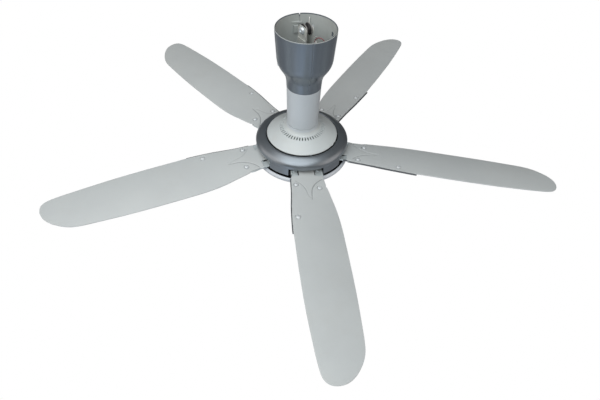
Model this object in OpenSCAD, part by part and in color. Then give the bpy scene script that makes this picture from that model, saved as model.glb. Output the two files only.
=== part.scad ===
// Five-blade ceiling fan with a hook hanger, a two-part cup canopy and an outer-rotor motor.
// Origin: on the fan's axis, at the underside of the rubber roller's groove, where the ceiling hook bears.
// +Z up along the axis, +X along the hanger's roller bolt. Millimetres.

/* [Hanger] */
// Width of each hanger plate
ear_w = 34; // [32:1:36]
// Thickness of each hanger plate
plate_t = 3; // [2.5:0.5:3.5]
// Clear space between the hanger plates
hook_gap = 19; // [18:0.5:20]
// Outer radius of the rubber roller
roller_r = 15.5; // [14:0.5:16]
// Radius at the bottom of the roller's groove
groove_r = 11; // [10:0.5:11.5]
// Diameter of the roller bolt
bolt_d = 8; // [8:1:10]

/* [Mast] */
// Distance from the hook seat down to the hub ring's top outer edge
drop = 333.5; // [330:0.5:380]
// Outer diameter of the downrod
rod_d = 26.7; // [26:0.1:27]
// Bore of the downrod
rod_bore = 21; // [18:0.5:22]
// Outer radius of the tube cover at its top
tube_r = 48; // [47.5:0.1:48.5]
// Wall of the tube cover
tube_wall = 2.6; // [2:0.1:3]

/* [Canopy] */
// Wall of the canopy
canopy_wall = 2.2; // [1.8:0.1:2.6]
// Azimuth of the canopy's back seam
seam_az = 68; // [60:1:75]

/* [Hub] */
// Number of vent slots in the top cover
slots = 48; // [36:1:52]
// Width of one vent slot
slot_w = 2.4; // [1.8:0.1:2.8]
// Outer radius of the top cover
cover_r = 104.9; // [104:0.1:106]
// Inner radius of the ring cover
ring_in_r = 107.2; // [107:0.1:108]

/* [Blades] */
// Number of blades
blade_count = 5; // [5:1:5]
// Azimuth of the first blade
blade_az0 = 28; // [0:1:71]
// Thickness of a blade
blade_t = 3; // [2.4:0.2:3]
// Thickness of a blade bracket
bracket_t = 2.5; // [2:0.5:2.5]

/* [Motor] */
// Number of stator teeth
teeth = 12; // [12:3:12]
// Number of rotor magnets
magnets = 14; // [14:2:14]
// Radius of the hollow motor shaft
shaft_r = 10; // [10:1:10]
// Bore radius of the hollow motor shaft
shaft_bore = 6; // [5:0.5:6.5]

/* [Hidden] */
$fn = 96;

// ---------- helpers ----------
// Heights called h are measured from the ring plane, the level of the hub ring's top outer edge.
module at_ring() translate([0, 0, -drop]) children();
function smooth(u) = let (v = max(0, min(1, u))) v * v * (3 - 2 * v);
function az_of(k) = blade_az0 + k * 360 / blade_count;
// Catmull-Rom point between p[i] and p[i+1]
function cr(p, i, u) =
    let (n = len(p) - 1,
         a = p[max(0, i - 1)], b = p[i], c = p[min(n, i + 1)], d = p[min(n, i + 2)])
    0.5 * (2 * b + (c - a) * u + (2 * a - 5 * b + 4 * c - d) * u * u + (3 * b - a - 3 * c + d) * u * u * u);
function curve(p, s) = concat([for (i = [0:len(p) - 2], j = [0:s - 1]) cr(p, i, j / s)], [p[len(p) - 1]]);
// A profile moved towards its inner side by w
function normal2(p, i) =
    let (n = len(p) - 1, a = p[max(0, i - 1)], b = p[min(n, i + 1)], v = b - a) [-v[1], v[0]] / norm(v);
function inset(p, w) = [for (i = [0:len(p) - 1]) p[i] + w * normal2(p, i)];
function rev(p) = [for (i = [len(p) - 1:-1:0]) p[i]];
module tube(r1, r2, z0, z1) {
    translate([0, 0, z0]) difference() {
        cylinder(r = r2, h = z1 - z0);
        translate([0, 0, -1]) cylinder(r = r1, h = z1 - z0 + 2);
    }
}
module hex(af, h) cylinder(r = af / sqrt(3), h = h, $fn = 6);

// ---------- hanger ----------
axle_z = groove_r;                 // roller axis above the hook seat
ear_top = axle_z + 10;             // top edge of each plate, below the roller's flanges
ear_in = hook_gap / 2;             // inner face of each plate
ear_out = ear_in + plate_t;
strap_t = 2.5;                     // doubler strap outside each plate
strap_top = -11.5;
fork_floor = -27;
socket_top = -36;                  // top end of the downrod inside the socket
socket_bottom = -76;
cross_z = -62;                     // cross bolt through socket and downrod

module plate_outline() {
    hull() {
        for (s = [-1, 1]) translate([s * (ear_w / 2 - 9), ear_top - 9]) circle(r = 9);
        translate([-ear_w / 2, -46]) square([ear_w, 50]);
    }
}
module plate(x) {
    translate([x, 0, 0]) rotate([90, 0, 90]) linear_extrude(plate_t) plate_outline();
}
module hanger_clevis() color([0.70, 0.71, 0.70]) {
    difference() {
        union() {
            plate(ear_in);
            plate(-ear_out);
            for (s = [-1, 1])
                translate([s * (ear_out + strap_t / 2), 0, (strap_top - 46) / 2])
                    cube([strap_t, ear_w - 4, strap_top + 46], center = true);
            translate([-ear_out, -ear_w / 2, -46]) cube([2 * ear_out, ear_w, fork_floor + 46]);
            translate([0, 0, socket_bottom]) cylinder(r = 19, h = -40 - socket_bottom);
        }
        translate([-30, 0, axle_z]) rotate([0, 90, 0]) cylinder(r = bolt_d / 2, h = 60);
        translate([0, 0, socket_bottom - 1]) cylinder(r = rod_d / 2, h = socket_top - socket_bottom + 1);
        translate([0, 0, socket_top - 1]) cylinder(r = rod_bore / 2, h = fork_floor - socket_top + 2);
        translate([-30, 0, cross_z]) rotate([0, 90, 0]) cylinder(r = 4, h = 60);
        translate([0, -30, -69]) rotate([-90, 0, 0]) cylinder(r = 2.5, h = 30);
    }
}
module roller_bolt() color([0.80, 0.82, 0.84]) {
    translate([-ear_out, 0, axle_z]) rotate([0, 90, 0]) cylinder(r = bolt_d / 2, h = 2 * ear_out + 9);
    // pan head with a cross recess
    difference() {
        translate([-ear_out, 0, axle_z]) rotate([0, -90, 0]) rotate_extrude()
            polygon([[0, 0], [9.8, 0], [9.8, 1.4], [8.9, 3.3], [6.9, 4.7], [3.6, 5.4], [0, 5.6]]);
        for (a = [45, 135])
            translate([-ear_out - 5, 0, axle_z]) rotate([a, 0, 0]) cube([5, 10.6, 1.9], center = true);
    }
}
module roller_nut() color([0.76, 0.77, 0.78]) {
    translate([ear_out, 0, axle_z]) rotate([0, 90, 0]) difference() {
        union() {
            cylinder(r = 8.5, h = 1.6);
            translate([0, 0, 1.6]) hex(13, 6.4);
        }
        translate([0, 0, -1]) cylinder(r = bolt_d / 2, h = 12);
    }
}
module rubber_roller() color([0.06, 0.06, 0.06]) {
    g = hook_gap / 2 - 0.4;
    translate([0, 0, axle_z]) rotate([0, 90, 0]) rotate_extrude()
        polygon([[5.6, -g], [roller_r - 0.8, -g], [roller_r, -g + 0.8], [roller_r, -g + 2.4], [roller_r - 1.2, -g + 3.4],
                 [groove_r, -3.4], [groove_r, 3.4], [roller_r - 1.2, g - 3.4], [roller_r, g - 2.4],
                 [roller_r, g - 0.8], [roller_r - 0.8, g], [5.6, g]]);
}
module roller_sleeve() color([0.72, 0.72, 0.70]) {
    g = hook_gap / 2 - 0.1;
    translate([-g, 0, axle_z]) rotate([0, 90, 0]) difference() {
        cylinder(r = 5.6, h = 2 * g);
        translate([0, 0, -1]) cylinder(r = bolt_d / 2 + 0.05, h = 2 * g + 2);
    }
}
module hanger_cross_bolt() color([0.78, 0.79, 0.80]) {
    translate([-20, 0, cross_z]) rotate([0, 90, 0]) cylinder(r = 4, h = 45);
    translate([-20, 0, cross_z]) rotate([0, -90, 0]) hex(13, 5.5);
    translate([-20, 0, cross_z]) rotate([0, 90, 0]) difference() {
        cylinder(r = 7.5, h = 1);
        translate([0, 0, -1]) cylinder(r = 4, h = 3);
    }
}
module hanger_cross_nut() color([0.74, 0.75, 0.76]) {
    translate([19, 0, cross_z]) rotate([0, 90, 0]) difference() {
        hex(13, 6.5);
        translate([0, 0, -1]) cylinder(r = 4, h = 9);
    }
}
module hanger_set_screw() color([0.30, 0.30, 0.31]) {
    translate([0, -rod_d / 2, -69]) rotate([90, 0, 0]) difference() {
        cylinder(r = 2.5, h = 10);
        translate([0, 0, 8]) hex(2.5, 3);
    }
}

// ---------- wiring ----------
module terminal_block() color([0.92, 0.92, 0.90]) {
    difference() {
        translate([ear_out + strap_t, -15.5, -36.5]) cube([10, 15, 13]);
        for (y = [-11.6, -4.4]) translate([20, y, -23.5]) cube([4.4, 4.4, 6], center = true);
    }
}
// Points of a round tube swept along a route
function unit(v) = v / norm(v);
function tangent(p, i) = unit(p[min(len(p) - 1, i + 1)] - p[max(0, i - 1)]);
function side_of(t) = let (s = abs(t[2]) < 0.9 ? [0, 0, 1] : [1, 0, 0]) unit(cross(t, s));
// carries the side vector from ring to ring so the tube doesn't twist
function frames(p, i = 0, s = undef, acc = []) =
    i >= len(p) ? acc :
    let (t = tangent(p, i), v = s == undef ? side_of(t) : unit(s - (s * t) * t))
    frames(p, i + 1, v, concat(acc, [v]));
module sweep_tube(p, r, n = 8) {
    f = frames(p);
    pts = [for (i = [0:len(p) - 1], j = [0:n - 1])
        let (t = tangent(p, i), a = f[i], b = cross(t, a)) p[i] + r * (cos(360 * j / n) * a + sin(360 * j / n) * b)];
    m = len(p);
    polyhedron(points = pts, faces = concat(
        [[for (j = [0:n - 1]) j]],
        [[for (j = [n - 1:-1:0]) (m - 1) * n + j]],
        [for (i = [0:m - 2], j = [0:n - 1], k = [0, 1])
            let (a = i * n + j, b = i * n + (j + 1) % n, c = a + n, d = b + n)
            k == 0 ? [a, c, b] : [b, c, d]]));
}
function polar(r, a, z) = [r * cos(a), r * sin(a), z];
// visible loop beside the clevis, then down beside the mast to the control board
live_route = curve([polar(23.1, -30.1, -26.4), polar(23.3, -30.2, -20.5), polar(27, -31.5, -14.8), polar(33.8, -33.5, -12.2), polar(41.5, -35.5, -14.2),
    polar(48.3, -37, -21.5), polar(51.2, -39, -33), polar(46, -42, -52), polar(35, -45, -74), polar(29, -46, -93), polar(27.5, -46, -130),
    polar(27.5, -46, -200), polar(27.5, -46, -268), polar(28.5, -46, -292), polar(36, -45, -301), polar(46, -44, -304), polar(47.5, -44, -310.85)], 3);
neutral_route = curve([polar(20.5, -12.4, -26.4), polar(20.9, -12.4, -21.5), polar(25, -9, -17), polar(31, -5, -17.5), polar(35, -3, -24),
    polar(36.5, -3, -38), polar(35, -5, -58), polar(31, -8, -78), polar(28, -10, -95), polar(27.5, -10, -130),
    polar(27.5, -10, -200), polar(27.5, -10, -268), polar(28.5, -10, -292), polar(36, -10, -301), polar(46, -10, -304), polar(47.5, -10, -310.85)], 3);
module live_lead() color([0.55, 0.13, 0.13]) sweep_tube(live_route, 1.2);
module neutral_lead() color([0.10, 0.10, 0.11]) sweep_tube(neutral_route, 1.2);

// ---------- downrod, coupler and shaft ----------
rod_bottom = -281;
module downrod() color([0.62, 0.63, 0.64]) {
    difference() {
        translate([0, 0, rod_bottom]) cylinder(r = rod_d / 2, h = socket_top - rod_bottom);
        translate([0, 0, rod_bottom - 1]) cylinder(r = rod_bore / 2, h = socket_top - rod_bottom + 2);
        translate([-20, 0, cross_z]) rotate([0, 90, 0]) cylinder(r = 4, h = 40);
        translate([-20, 0, -268]) rotate([0, 90, 0]) cylinder(r = 3, h = 40);
    }
}
module shaft_coupler() color([0.42, 0.43, 0.44]) at_ring() {
    difference() {
        union() {
            translate([0, 0, 26]) cylinder(r = 19, h = 52);
            translate([0, 0, 36.5]) cylinder(r = 24, h = 4);
        }
        translate([0, 0, 25]) cylinder(r = shaft_r, h = 27.5);
        translate([0, 0, 52]) cylinder(r = rod_d / 2, h = 30);
        translate([-25, 0, 65.5]) rotate([0, 90, 0]) cylinder(r = 3, h = 50);
        translate([-25, 0, 31]) rotate([0, 90, 0]) cylinder(r = 2.5, h = 25);
    }
}
module coupler_cross_bolt() color([0.78, 0.79, 0.80]) at_ring() {
    translate([-19, 0, 65.5]) rotate([0, 90, 0]) cylinder(r = 3, h = 43.5);
    translate([-19, 0, 65.5]) rotate([0, -90, 0]) hex(10, 4);
    // grub screw that locks the coupler on the shaft
    translate([-21, 0, 31]) rotate([0, 90, 0]) cylinder(r = 2.5, h = 11);
}
module coupler_cross_nut() color([0.74, 0.75, 0.76]) at_ring() {
    translate([19, 0, 65.5]) rotate([0, 90, 0]) difference() {
        hex(10, 5);
        translate([0, 0, -1]) cylinder(r = 3, h = 8);
    }
}
shaft_top = 51;
shaft_end = -80;
module motor_shaft() color([0.72, 0.73, 0.75]) at_ring() {
    difference() {
        union() {
            translate([0, 0, shaft_end]) cylinder(r = shaft_r, h = shaft_top - shaft_end);
            // shoulders that the inner bearing rings rest on
            translate([0, 0, -43]) cylinder(r = 12.5, h = 45);
        }
        translate([0, 0, shaft_end - 1]) cylinder(r = shaft_bore, h = shaft_top - shaft_end + 2);
    }
}

// ---------- tube cover ----------
tube_low = 60;
tube_top = 180.5;
spigot_top = 236;
spigot_r = tube_r - 3.4;
module tube_cover() color([0.68, 0.72, 0.74]) at_ring() {
    p = [[tube_r - 2.2, tube_low], [tube_r - 1.4, 120], [tube_r, tube_top]];
    difference() {
        rotate_extrude($fn = 144) polygon(concat(
            [p[0], p[1], p[2], [spigot_r, tube_top], [spigot_r, spigot_top - 1], [spigot_r - 1, spigot_top], [rod_d / 2 + 0.4, spigot_top],
             [rod_d / 2 + 0.4, spigot_top - 3], [spigot_r - tube_wall, spigot_top - 3]],
            [[spigot_r - tube_wall, tube_top], [p[1][0] - tube_wall, 120], [p[0][0] - tube_wall, tube_low]]));
        // wiring hole beside the mast
        for (a = [-46, -10]) rotate([0, 0, a]) translate([28, 0, spigot_top - 6]) cylinder(r = 4, h = 10, $fn = 32);
    }
}

// ---------- canopy ----------
canopy_pts = [[48.2, 181], [48.6, 189], [49.4, 200], [51.6, 212], [56.2, 223.5], [62.4, 234], [68.4, 243.5], [72.6, 253], [75.0, 264],
    [76.0, 277], [76.9, 290], [78.2, 310], [79.5, 330], [80.2, 349]];
canopy_out = curve(canopy_pts, 3);
canopy_in = inset(canopy_out, canopy_wall);
canopy_top = 349;
module canopy_half(a0) {
    difference() {
        rotate([0, 0, a0 + 0.14]) rotate_extrude(angle = 179.72, $fn = 144)
            polygon(concat(canopy_out, rev(concat([[canopy_in[0][0], 181]],
                [for (i = [1:len(canopy_in) - 2]) canopy_in[i]], [[80.2 - canopy_wall, 349]]))));
        // notch in the rim at the back seam
        rotate([0, 0, seam_az]) translate([70, 0, 349]) rotate([90, 0, 90])
            linear_extrude(20) polygon([[-1.8, 1], [1.8, 1], [0.4, -4.4], [-0.4, -4.4]]);
    }
}
module canopy_half_left() color([0.36, 0.40, 0.44]) at_ring() {
    difference() {
        union() {
            canopy_half(seam_az);
            // square boss beside the seam
            intersection() {
                rotate([0, 0, seam_az + 8.5]) translate([74.5, 0, 308.5]) cube([7, 13, 21], center = true);
                cylinder(r = 77.2, h = 400);
            }
            // snap tongue that reaches across the seam behind the other half
            rotate([0, 0, seam_az - 5]) rotate_extrude(angle = 5.4, $fn = 144)
                polygon([[73.6, 323], [76.5, 323], [76.5, 328], [73.6, 328]]);
            rotate([0, 0, seam_az + 0.3]) rotate_extrude(angle = 18.7, $fn = 144)
                polygon([[73.6, 323], [77.6, 323], [77.6, 328], [73.6, 328]]);
            // bead that carries the lock screw
            at_lock() translate([0, 0, -7]) cylinder(r = 5, h = 5.5);
        }
        at_lock() translate([0, 0, -12]) cylinder(r = 2, h = 20);
    }
}
module canopy_half_right() color([0.36, 0.40, 0.44]) at_ring() {
    difference() {
        union() {
            canopy_half(seam_az + 180);
            // stiffening rib inside the wall
            intersection() {
                rotate([0, 0, seam_az - 19.5]) translate([76, 0, 330]) cube([4, 2, 17], center = true);
                cylinder(r = 78, h = 400);
            }
        }
        // latch pocket, closed on the outside
        rotate([0, 0, seam_az - 78]) translate([73.7, 0, 316]) cube([7.4, 9, 11], center = true);
    }
}
lock_az = 151;
lock_h = 247;
lock_r = 70.1;
lock_tilt = 25;
// on the canopy's outer face at the lock screw, z square to the wall
module at_lock() rotate([0, 0, lock_az]) translate([lock_r, 0, lock_h]) rotate([0, 90 + lock_tilt, 0]) children();
module canopy_screw() color([0.80, 0.81, 0.82]) at_ring() at_lock() {
    translate([0, 0, -8]) cylinder(r = 2, h = 10.5);
    translate([0, 0, 0.2]) cylinder(r = 3.4, h = 2.6);
}
// ---------- top cover ----------
cover_pts = [[46.2, 58.5], [46.4, 55.5], [47.4, 51], [49.3, 46.6], [52.2, 43], [56, 41], [61, 39.6], [67, 37.8], [73, 35],
    [82, 30.2], [91, 25], [99, 20.6], [102.6, 18.5], [104.4, 16.9], [cover_r, 15.4]];
cover_out = curve(cover_pts, 2);
module top_cover() color([0.82, 0.84, 0.84]) at_ring() {
    difference() {
        union() {
            rotate_extrude($fn = 144) polygon(concat(
                rev(cover_out), [[42.6, 58.5], [42.6, 64], [40.2, 64], [40.2, 56]],
                [for (p = inset([for (i = [2:len(cover_out) - 5]) cover_out[i]], -2.4)) p],
                [[cover_r - 2.3, 15], [cover_r - 0.7, 15]]));
            // hub web clamped on the coupler's flange
            tube(19.3, 49, 40.5, 43.5);
            // bosses for the control board
            for (a = [30, 150, 270]) rotate([0, 0, a]) translate([71, 0, 22.6]) cylinder(r = 4, h = 11.4, $fn = 32);
            // small tab at the edge
            rotate([0, 0, -66]) translate([cover_r - 2, -2, 14.4]) cube([3.2, 4, 2]);
        }
        for (k = [0:slots - 1]) rotate([0, 0, (k + 0.5) * 360 / slots])
            translate([55.4, -slot_w / 2, 26]) cube([11.4, slot_w, 30]);
        for (a = [-46, -10]) rotate([0, 0, a]) translate([28.6, 0, 38]) cylinder(r = 4, h = 8, $fn = 32);
        for (a = [30, 150, 270]) rotate([0, 0, a]) translate([71, 0, 20]) cylinder(r = 1.5, h = 10, $fn = 24);
    }
}
module control_board() color([0.10, 0.36, 0.20]) at_ring() {
    difference() {
        tube(36, 78, 21, 22.6);
        for (a = [30, 150, 270]) rotate([0, 0, a]) translate([71, 0, 20]) cylinder(r = 1.8, h = 4, $fn = 24);
    }
}
module board_components() color([0.13, 0.13, 0.15]) at_ring() {
    for (a = [60, 84, 108]) rotate([0, 0, a]) translate([56, 0, 13.5]) cylinder(r = 6, h = 7.5, $fn = 32);
    rotate([0, 0, 200]) translate([56, 0, 17]) cube([22, 26, 8], center = true);
    rotate([0, 0, 0]) translate([54, 0, 18.4]) cube([12, 12, 5.2], center = true);
    for (a = [300, 318, 336]) rotate([0, 0, a]) translate([50, 0, 18.6]) cube([10, 7, 4.8], center = true);
}
module board_screws() color([0.80, 0.81, 0.82]) at_ring() {
    for (a = [30, 150, 270]) rotate([0, 0, a]) translate([71, 0, 18.6]) {
        cylinder(r = 3, h = 2.4, $fn = 32);
        cylinder(r = 1.5, h = 9, $fn = 24);
    }
}

// ---------- stator ----------
stator_mid = -19;
module stator_section() {
    difference() {
        union() {
            circle(r = 44);
            for (k = [0:teeth - 1]) rotate(k * 360 / teeth) translate([40, -5]) square([36, 10]);
            intersection() {
                difference() { circle(r = 79.2, $fn = 144); circle(r = 74.6, $fn = 144); }
                union() for (k = [0:teeth - 1]) rotate(k * 360 / teeth) polygon([[0, 0], [100, 21], [100, -21]]);
            }
        }
        circle(r = 12.5);
    }
}
module stator_core() color([0.45, 0.46, 0.48]) at_ring()
    translate([0, 0, stator_mid - 11]) linear_extrude(22) stator_section();
module stator_insulator() color([0.90, 0.89, 0.85]) at_ring() {
    // end plates above and below the core
    for (z = [stator_mid - 13, stator_mid + 11]) translate([0, 0, z]) linear_extrude(2) difference() {
        union() {
            circle(r = 44);
            for (k = [0:teeth - 1]) rotate(k * 360 / teeth) translate([40, -5]) square([34.6, 10]);
        }
        circle(r = 13);
    }
}
module stator_windings() color([0.72, 0.38, 0.18]) at_ring() {
    for (k = [0:teeth - 1]) rotate([0, 0, k * 360 / teeth]) difference() {
        translate([59.5, 0, stator_mid]) cube([24, 19, 33], center = true);
        translate([59.5, 0, stator_mid]) cube([26, 10, 26], center = true);
        // room for the neighbouring coils
        for (s = [-1, 1]) rotate([0, 0, s * 180 / teeth]) translate([44, s > 0 ? 0.25 - 0.5 : -20 + 0.25, stator_mid - 20])
            cube([40, 20, 40]);
    }
}

// ---------- bearings: 20 x 47 x 14 ----------
ball_r = 3.96;
pitch_r = 16.75;
module race_inner(z) translate([0, 0, z]) rotate_extrude() difference() {
    translate([shaft_r, -7]) square([4.2, 14]);
    translate([pitch_r, 0]) circle(r = ball_r + 0.05, $fn = 48);
}
module race_outer(z) translate([0, 0, z]) rotate_extrude() difference() {
    translate([19.3, -7]) square([4.2, 14]);
    translate([pitch_r, 0]) circle(r = ball_r + 0.05, $fn = 48);
}
module balls(z) for (k = [0:7]) rotate([0, 0, 45 * k]) translate([pitch_r, 0, z]) sphere(r = ball_r, $fn = 32);
module cage(z) difference() {
    tube(15.4, 18.1, z - 4.8, z + 4.8);
    for (k = [0:7]) rotate([0, 0, 45 * k]) translate([pitch_r, 0, z]) sphere(r = ball_r + 0.05, $fn = 32);
}
upper_brg = 9;
lower_brg = -50;
module upper_bearing_inner() color([0.75, 0.76, 0.78]) at_ring() race_inner(upper_brg);
module upper_bearing_outer() color([0.75, 0.76, 0.78]) at_ring() race_outer(upper_brg);
module upper_bearing_balls() color([0.85, 0.86, 0.88]) at_ring() balls(upper_brg);
module upper_bearing_cage() color([0.80, 0.70, 0.45]) at_ring() cage(upper_brg);
module lower_bearing_inner() color([0.75, 0.76, 0.78]) at_ring() race_inner(lower_brg);
module lower_bearing_outer() color([0.75, 0.76, 0.78]) at_ring() race_outer(lower_brg);
module lower_bearing_balls() color([0.85, 0.86, 0.88]) at_ring() balls(lower_brg);
module lower_bearing_cage() color([0.80, 0.70, 0.45]) at_ring() cage(lower_brg);

// ---------- rotor ----------
flange_top = -43;
seat_pitch = -5.6;                 // pitch of the blade seats about the radial axis
seat_z = -36.2;                    // seat plane at the radial axis
module rotor_lid() color([0.60, 0.61, 0.62]) at_ring() {
    difference() {
        union() {
            tube(27, 96, -1, 4);
            tube(23.5, 30, -1, 16);
            tube(19, 30, 16, 18);
            tube(88.6, 96, -8, 0);
        }
        for (k = [0:5]) rotate([0, 0, 60 * k + 12]) translate([92.3, 0, -20]) cylinder(r = 2.2, h = 30, $fn = 24);
    }
}
module rotor_base() color([0.60, 0.61, 0.62]) at_ring() {
    difference() {
        union() {
            // floor and flange
            tube(27, 126, flange_top - 4, flange_top);
            tube(23.5, 30, lower_brg - 7, flange_top);
            tube(19, 30, lower_brg - 9, lower_brg - 7);
            tube(88.6, 96, flange_top, -8);
            // pitched seats for the blade brackets
            for (k = [0:blade_count - 1]) rotate([0, 0, az_of(k)]) difference() {
                for (y = [-49.6, 20]) translate([97, y, flange_top - 1]) cube([26, y < 0 ? 19.1 : 23, 18]);
                translate([80, 0, seat_z]) rotate([seat_pitch, 0, 0]) translate([0, -65, 0]) cube([60, 130, 30]);
            }
        }
        for (k = [0:5]) rotate([0, 0, 60 * k + 12]) translate([92.3, 0, -26]) cylinder(r = 1.8, h = 30, $fn = 24);
        for (k = [0:blade_count - 1]) rotate([0, 0, az_of(k)]) {
            for (p = seat_holes) translate([p[0], p[1], flange_top - 6]) cylinder(r = 1.9, h = 24, $fn = 24);
            rotate([0, 0, 180 / blade_count]) translate([116, 0, flange_top - 6]) cylinder(r = 2.1, h = 10, $fn = 24);
        }
    }
}
seat_holes = [[105, -41], [117, -41], [105, 30], [117, 30]];
module rotor_yoke() color([0.35, 0.36, 0.38]) at_ring() tube(84.6, 88.6, stator_mid - 13, stator_mid + 11);
module rotor_magnets() color([0.22, 0.22, 0.24]) at_ring() {
    for (k = [0:magnets - 1]) rotate([0, 0, k * 360 / magnets]) translate([0, 0, stator_mid - 12])
        rotate_extrude(angle = 360 / magnets - 1.2, $fn = 144) translate([80.2, 0]) square([4.3, 22]);
}
module rotor_lid_screws() color([0.78, 0.79, 0.80]) at_ring() {
    for (k = [0:5]) rotate([0, 0, 60 * k + 12]) translate([92.3, 0, -24]) {
        cylinder(r = 1.8, h = 16, $fn = 24);
        translate([0, 0, 16]) cylinder(r = 2.2, h = 12, $fn = 24);
        translate([0, 0, 28]) cylinder(r = 3.6, h = 2.6, $fn = 32);
    }
}

// ---------- ring cover ----------
band_pts = [[ring_in_r, 11.2], [ring_in_r + 0.1, 12.4], [108.8, 14.2], [110.8, 15.6], [113.2, 16.2], [117, 15.2], [124, 11.9], [130.5, 8], [135, 3.6],
    [137.6, -1], [138.5, -6], [138.1, -10.5], [136.8, -14]];
band_out = curve(band_pts, 2);
module ring_cover() color([0.40, 0.43, 0.47]) at_ring() {
    difference() {
        union() {
            rotate_extrude($fn = 180) polygon(concat(
                band_out, [[135.4, -15.4], [135.0, -41.4], [132.6, -41.4], [132.8, -14], [134.6, -12.5], [135.9, -8], [135.8, -4],
                 [134.4, 0.2], [131.4, 4], [127, 7.4], [119, 11.4], [114.4, 13], [112, 12.9], [110, 12], [108.8, 10.6]]));
            // bosses down to the rotor flange
            for (k = [0:blade_count - 1]) rotate([0, 0, az_of(k) + 180 / blade_count]) translate([116, 0, flange_top])
                cylinder(r = 5, h = 55.5, $fn = 48);
        }
        for (k = [0:blade_count - 1]) rotate([0, 0, az_of(k)]) {
            translate([100, -57, -50]) cube([50, 103, 33.5]);
            rotate([0, 0, 180 / blade_count]) translate([116, 0, flange_top - 1]) cylinder(r = 1.6, h = 22, $fn = 24);
        }
    }
}
module ring_cover_screws() color([0.78, 0.79, 0.80]) at_ring() {
    for (k = [0:blade_count - 1]) rotate([0, 0, az_of(k) + 180 / blade_count]) translate([116, 0, flange_top - 6.4]) {
        cylinder(r = 3.6, h = 2.4, $fn = 32);
        cylinder(r = 1.6, h = 20, $fn = 24);
    }
}

// ---------- blades ----------
// Blade-local axes: x outward along the blade, t towards the leading edge (t = -y), h up.
function pitch_slope(r) = 0.10 + 0.062 * smooth((r - 140) / 170) - 0.015 * smooth((r - 450) / 250);
function camber(t) = 4.2 * (1 - pow((t - 10) / 66, 2));
function skin(r, t) = -30.94 - 0.00542 * r + pitch_slope(r) * (t - 10) + camber(t);
// [r, trailing t, leading t]
outline = [[108, -41, 50.6], [125, -41, 50.6], [142, -41, 50.6], [156, -41.2, 52.8], [170, -42, 54.4], [184, -43, 55.8],
    [190, -45.8, 56.2], [206, -48.6, 57.8], [236, -52.6, 61.4], [264, -56.6, 65.2], [300, -59.4, 69], [340, -60, 72],
    [384, -59, 73], [440, -57.2, 74.6], [500, -54.8, 75.4], [560, -51.4, 75.4], [620, -46.6, 73.6], [660, -42.8, 71.9],
    [684, -37.6, 70.6], [702, -29.4, 69.2], [716, -20, 67.6], [728, -10, 64.8], [737, 0.5, 60], [743.5, 11, 53], [747, 21, 44.6],
    [748.3, 30, 36]];
cols = [0, 0.09, 0.25, 0.42, 0.58, 0.74, 0.91, 1];
root_row = 2;
function in_blade(i, j) = i >= 0 && i < len(outline) - 1 && j >= 0 && j < len(cols) - 1 && (i >= root_row || (j >= 2 && j < 5));
module shell(rows, cs, up, down, test) {
    nr = len(rows); nc = len(cs); n = nr * nc;
    pts = [for (o = [up, down], i = [0:nr - 1], j = [0:nc - 1])
        let (r = rows[i][0], t = rows[i][1] + (rows[i][2] - rows[i][1]) * cs[j]) [r, -t, skin(r, t) + o]];
    function in(i, j) = test == 0 ? in_blade(i, j) : (i >= 0 && i < nr - 1 && j >= 0 && j < nc - 1);
    polyhedron(points = pts, faces = [for (i = [0:nr - 2], j = [0:nc - 2]) if (in(i, j))
        let (a = i * nc + j, b = a + 1, c = a + nc, d = c + 1)
        each concat(
            [[a, c, b], [b, c, d], [a + n, b + n, c + n], [b + n, d + n, c + n]],
            in(i - 1, j) ? [] : [[a, b, b + n], [a, b + n, a + n]],
            in(i + 1, j) ? [] : [[c, d + n, d], [c, c + n, d + n]],
            in(i, j - 1) ? [] : [[a, a + n, c + n], [a, c + n, c]],
            in(i, j + 1) ? [] : [[b, d, d + n], [b, d + n, b + n]])], convexity = 6);
}
module blade(k) color([0.72, 0.74, 0.75]) at_ring() rotate([0, 0, az_of(k)]) shell(outline, cols, 0, -blade_t, 0);
// bracket plate under the blade, along its leading edge
plate_rows = [[150, -42.2, 55.6], [176, -43.6, 57.8], [186, -40, 58.5], [204, -26, 60.4], [230, -2, 63.8], [262, 22, 68.2], [300, 40, 71.9],
    [346, 48, 75.2], [350, 62, 74.6]];
module blade_bracket(k) color([0.42, 0.46, 0.46]) at_ring() rotate([0, 0, az_of(k)]) {
    shell(plate_rows, [0, 0.25, 0.5, 0.75, 1], -blade_t - 0.4, -blade_t - 0.4 - bracket_t, 1);
    // fork arms into the hub
    translate([0, 0, seat_z]) rotate([seat_pitch, 0, 0]) difference() {
        linear_extrude(3) polygon([[99, -49.1], [152, -52.3], [154, -40], [154, 30], [152, 42], [99, 43.5], [99, 20.5], [136, 20],
            [139, 14], [139, -26], [136, -30.5], [99, -30.5]]);
        for (p = seat_holes) translate([p[0], p[1], -5]) cylinder(r = 2.2, h = 12, $fn = 24);
    }
}
module blade_bracket_1() blade_bracket(0);
module blade_bracket_2() blade_bracket(1);
module blade_bracket_3() blade_bracket(2);
module blade_bracket_4() blade_bracket(3);
module blade_bracket_5() blade_bracket(4);
module blade_1() blade(0);
module blade_2() blade(1);
module blade_3() blade(2);
module blade_4() blade(3);
module blade_5() blade(4);
module bracket_screws() color([0.78, 0.79, 0.80]) at_ring() {
    for (k = [0:blade_count - 1]) rotate([0, 0, az_of(k)]) translate([0, 0, seat_z]) rotate([seat_pitch, 0, 0])
        for (p = seat_holes) translate([p[0], p[1], -4.5]) {
            cylinder(r = 1.8, h = 7.6, $fn = 24);
            translate([0, 0, 7.5]) cylinder(r = 3.8, h = 2.4, $fn = 32);
        }
}
blade_screw_at = [[177, 41.9], [190.5, -23.5], [297, 53.1]];
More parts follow.
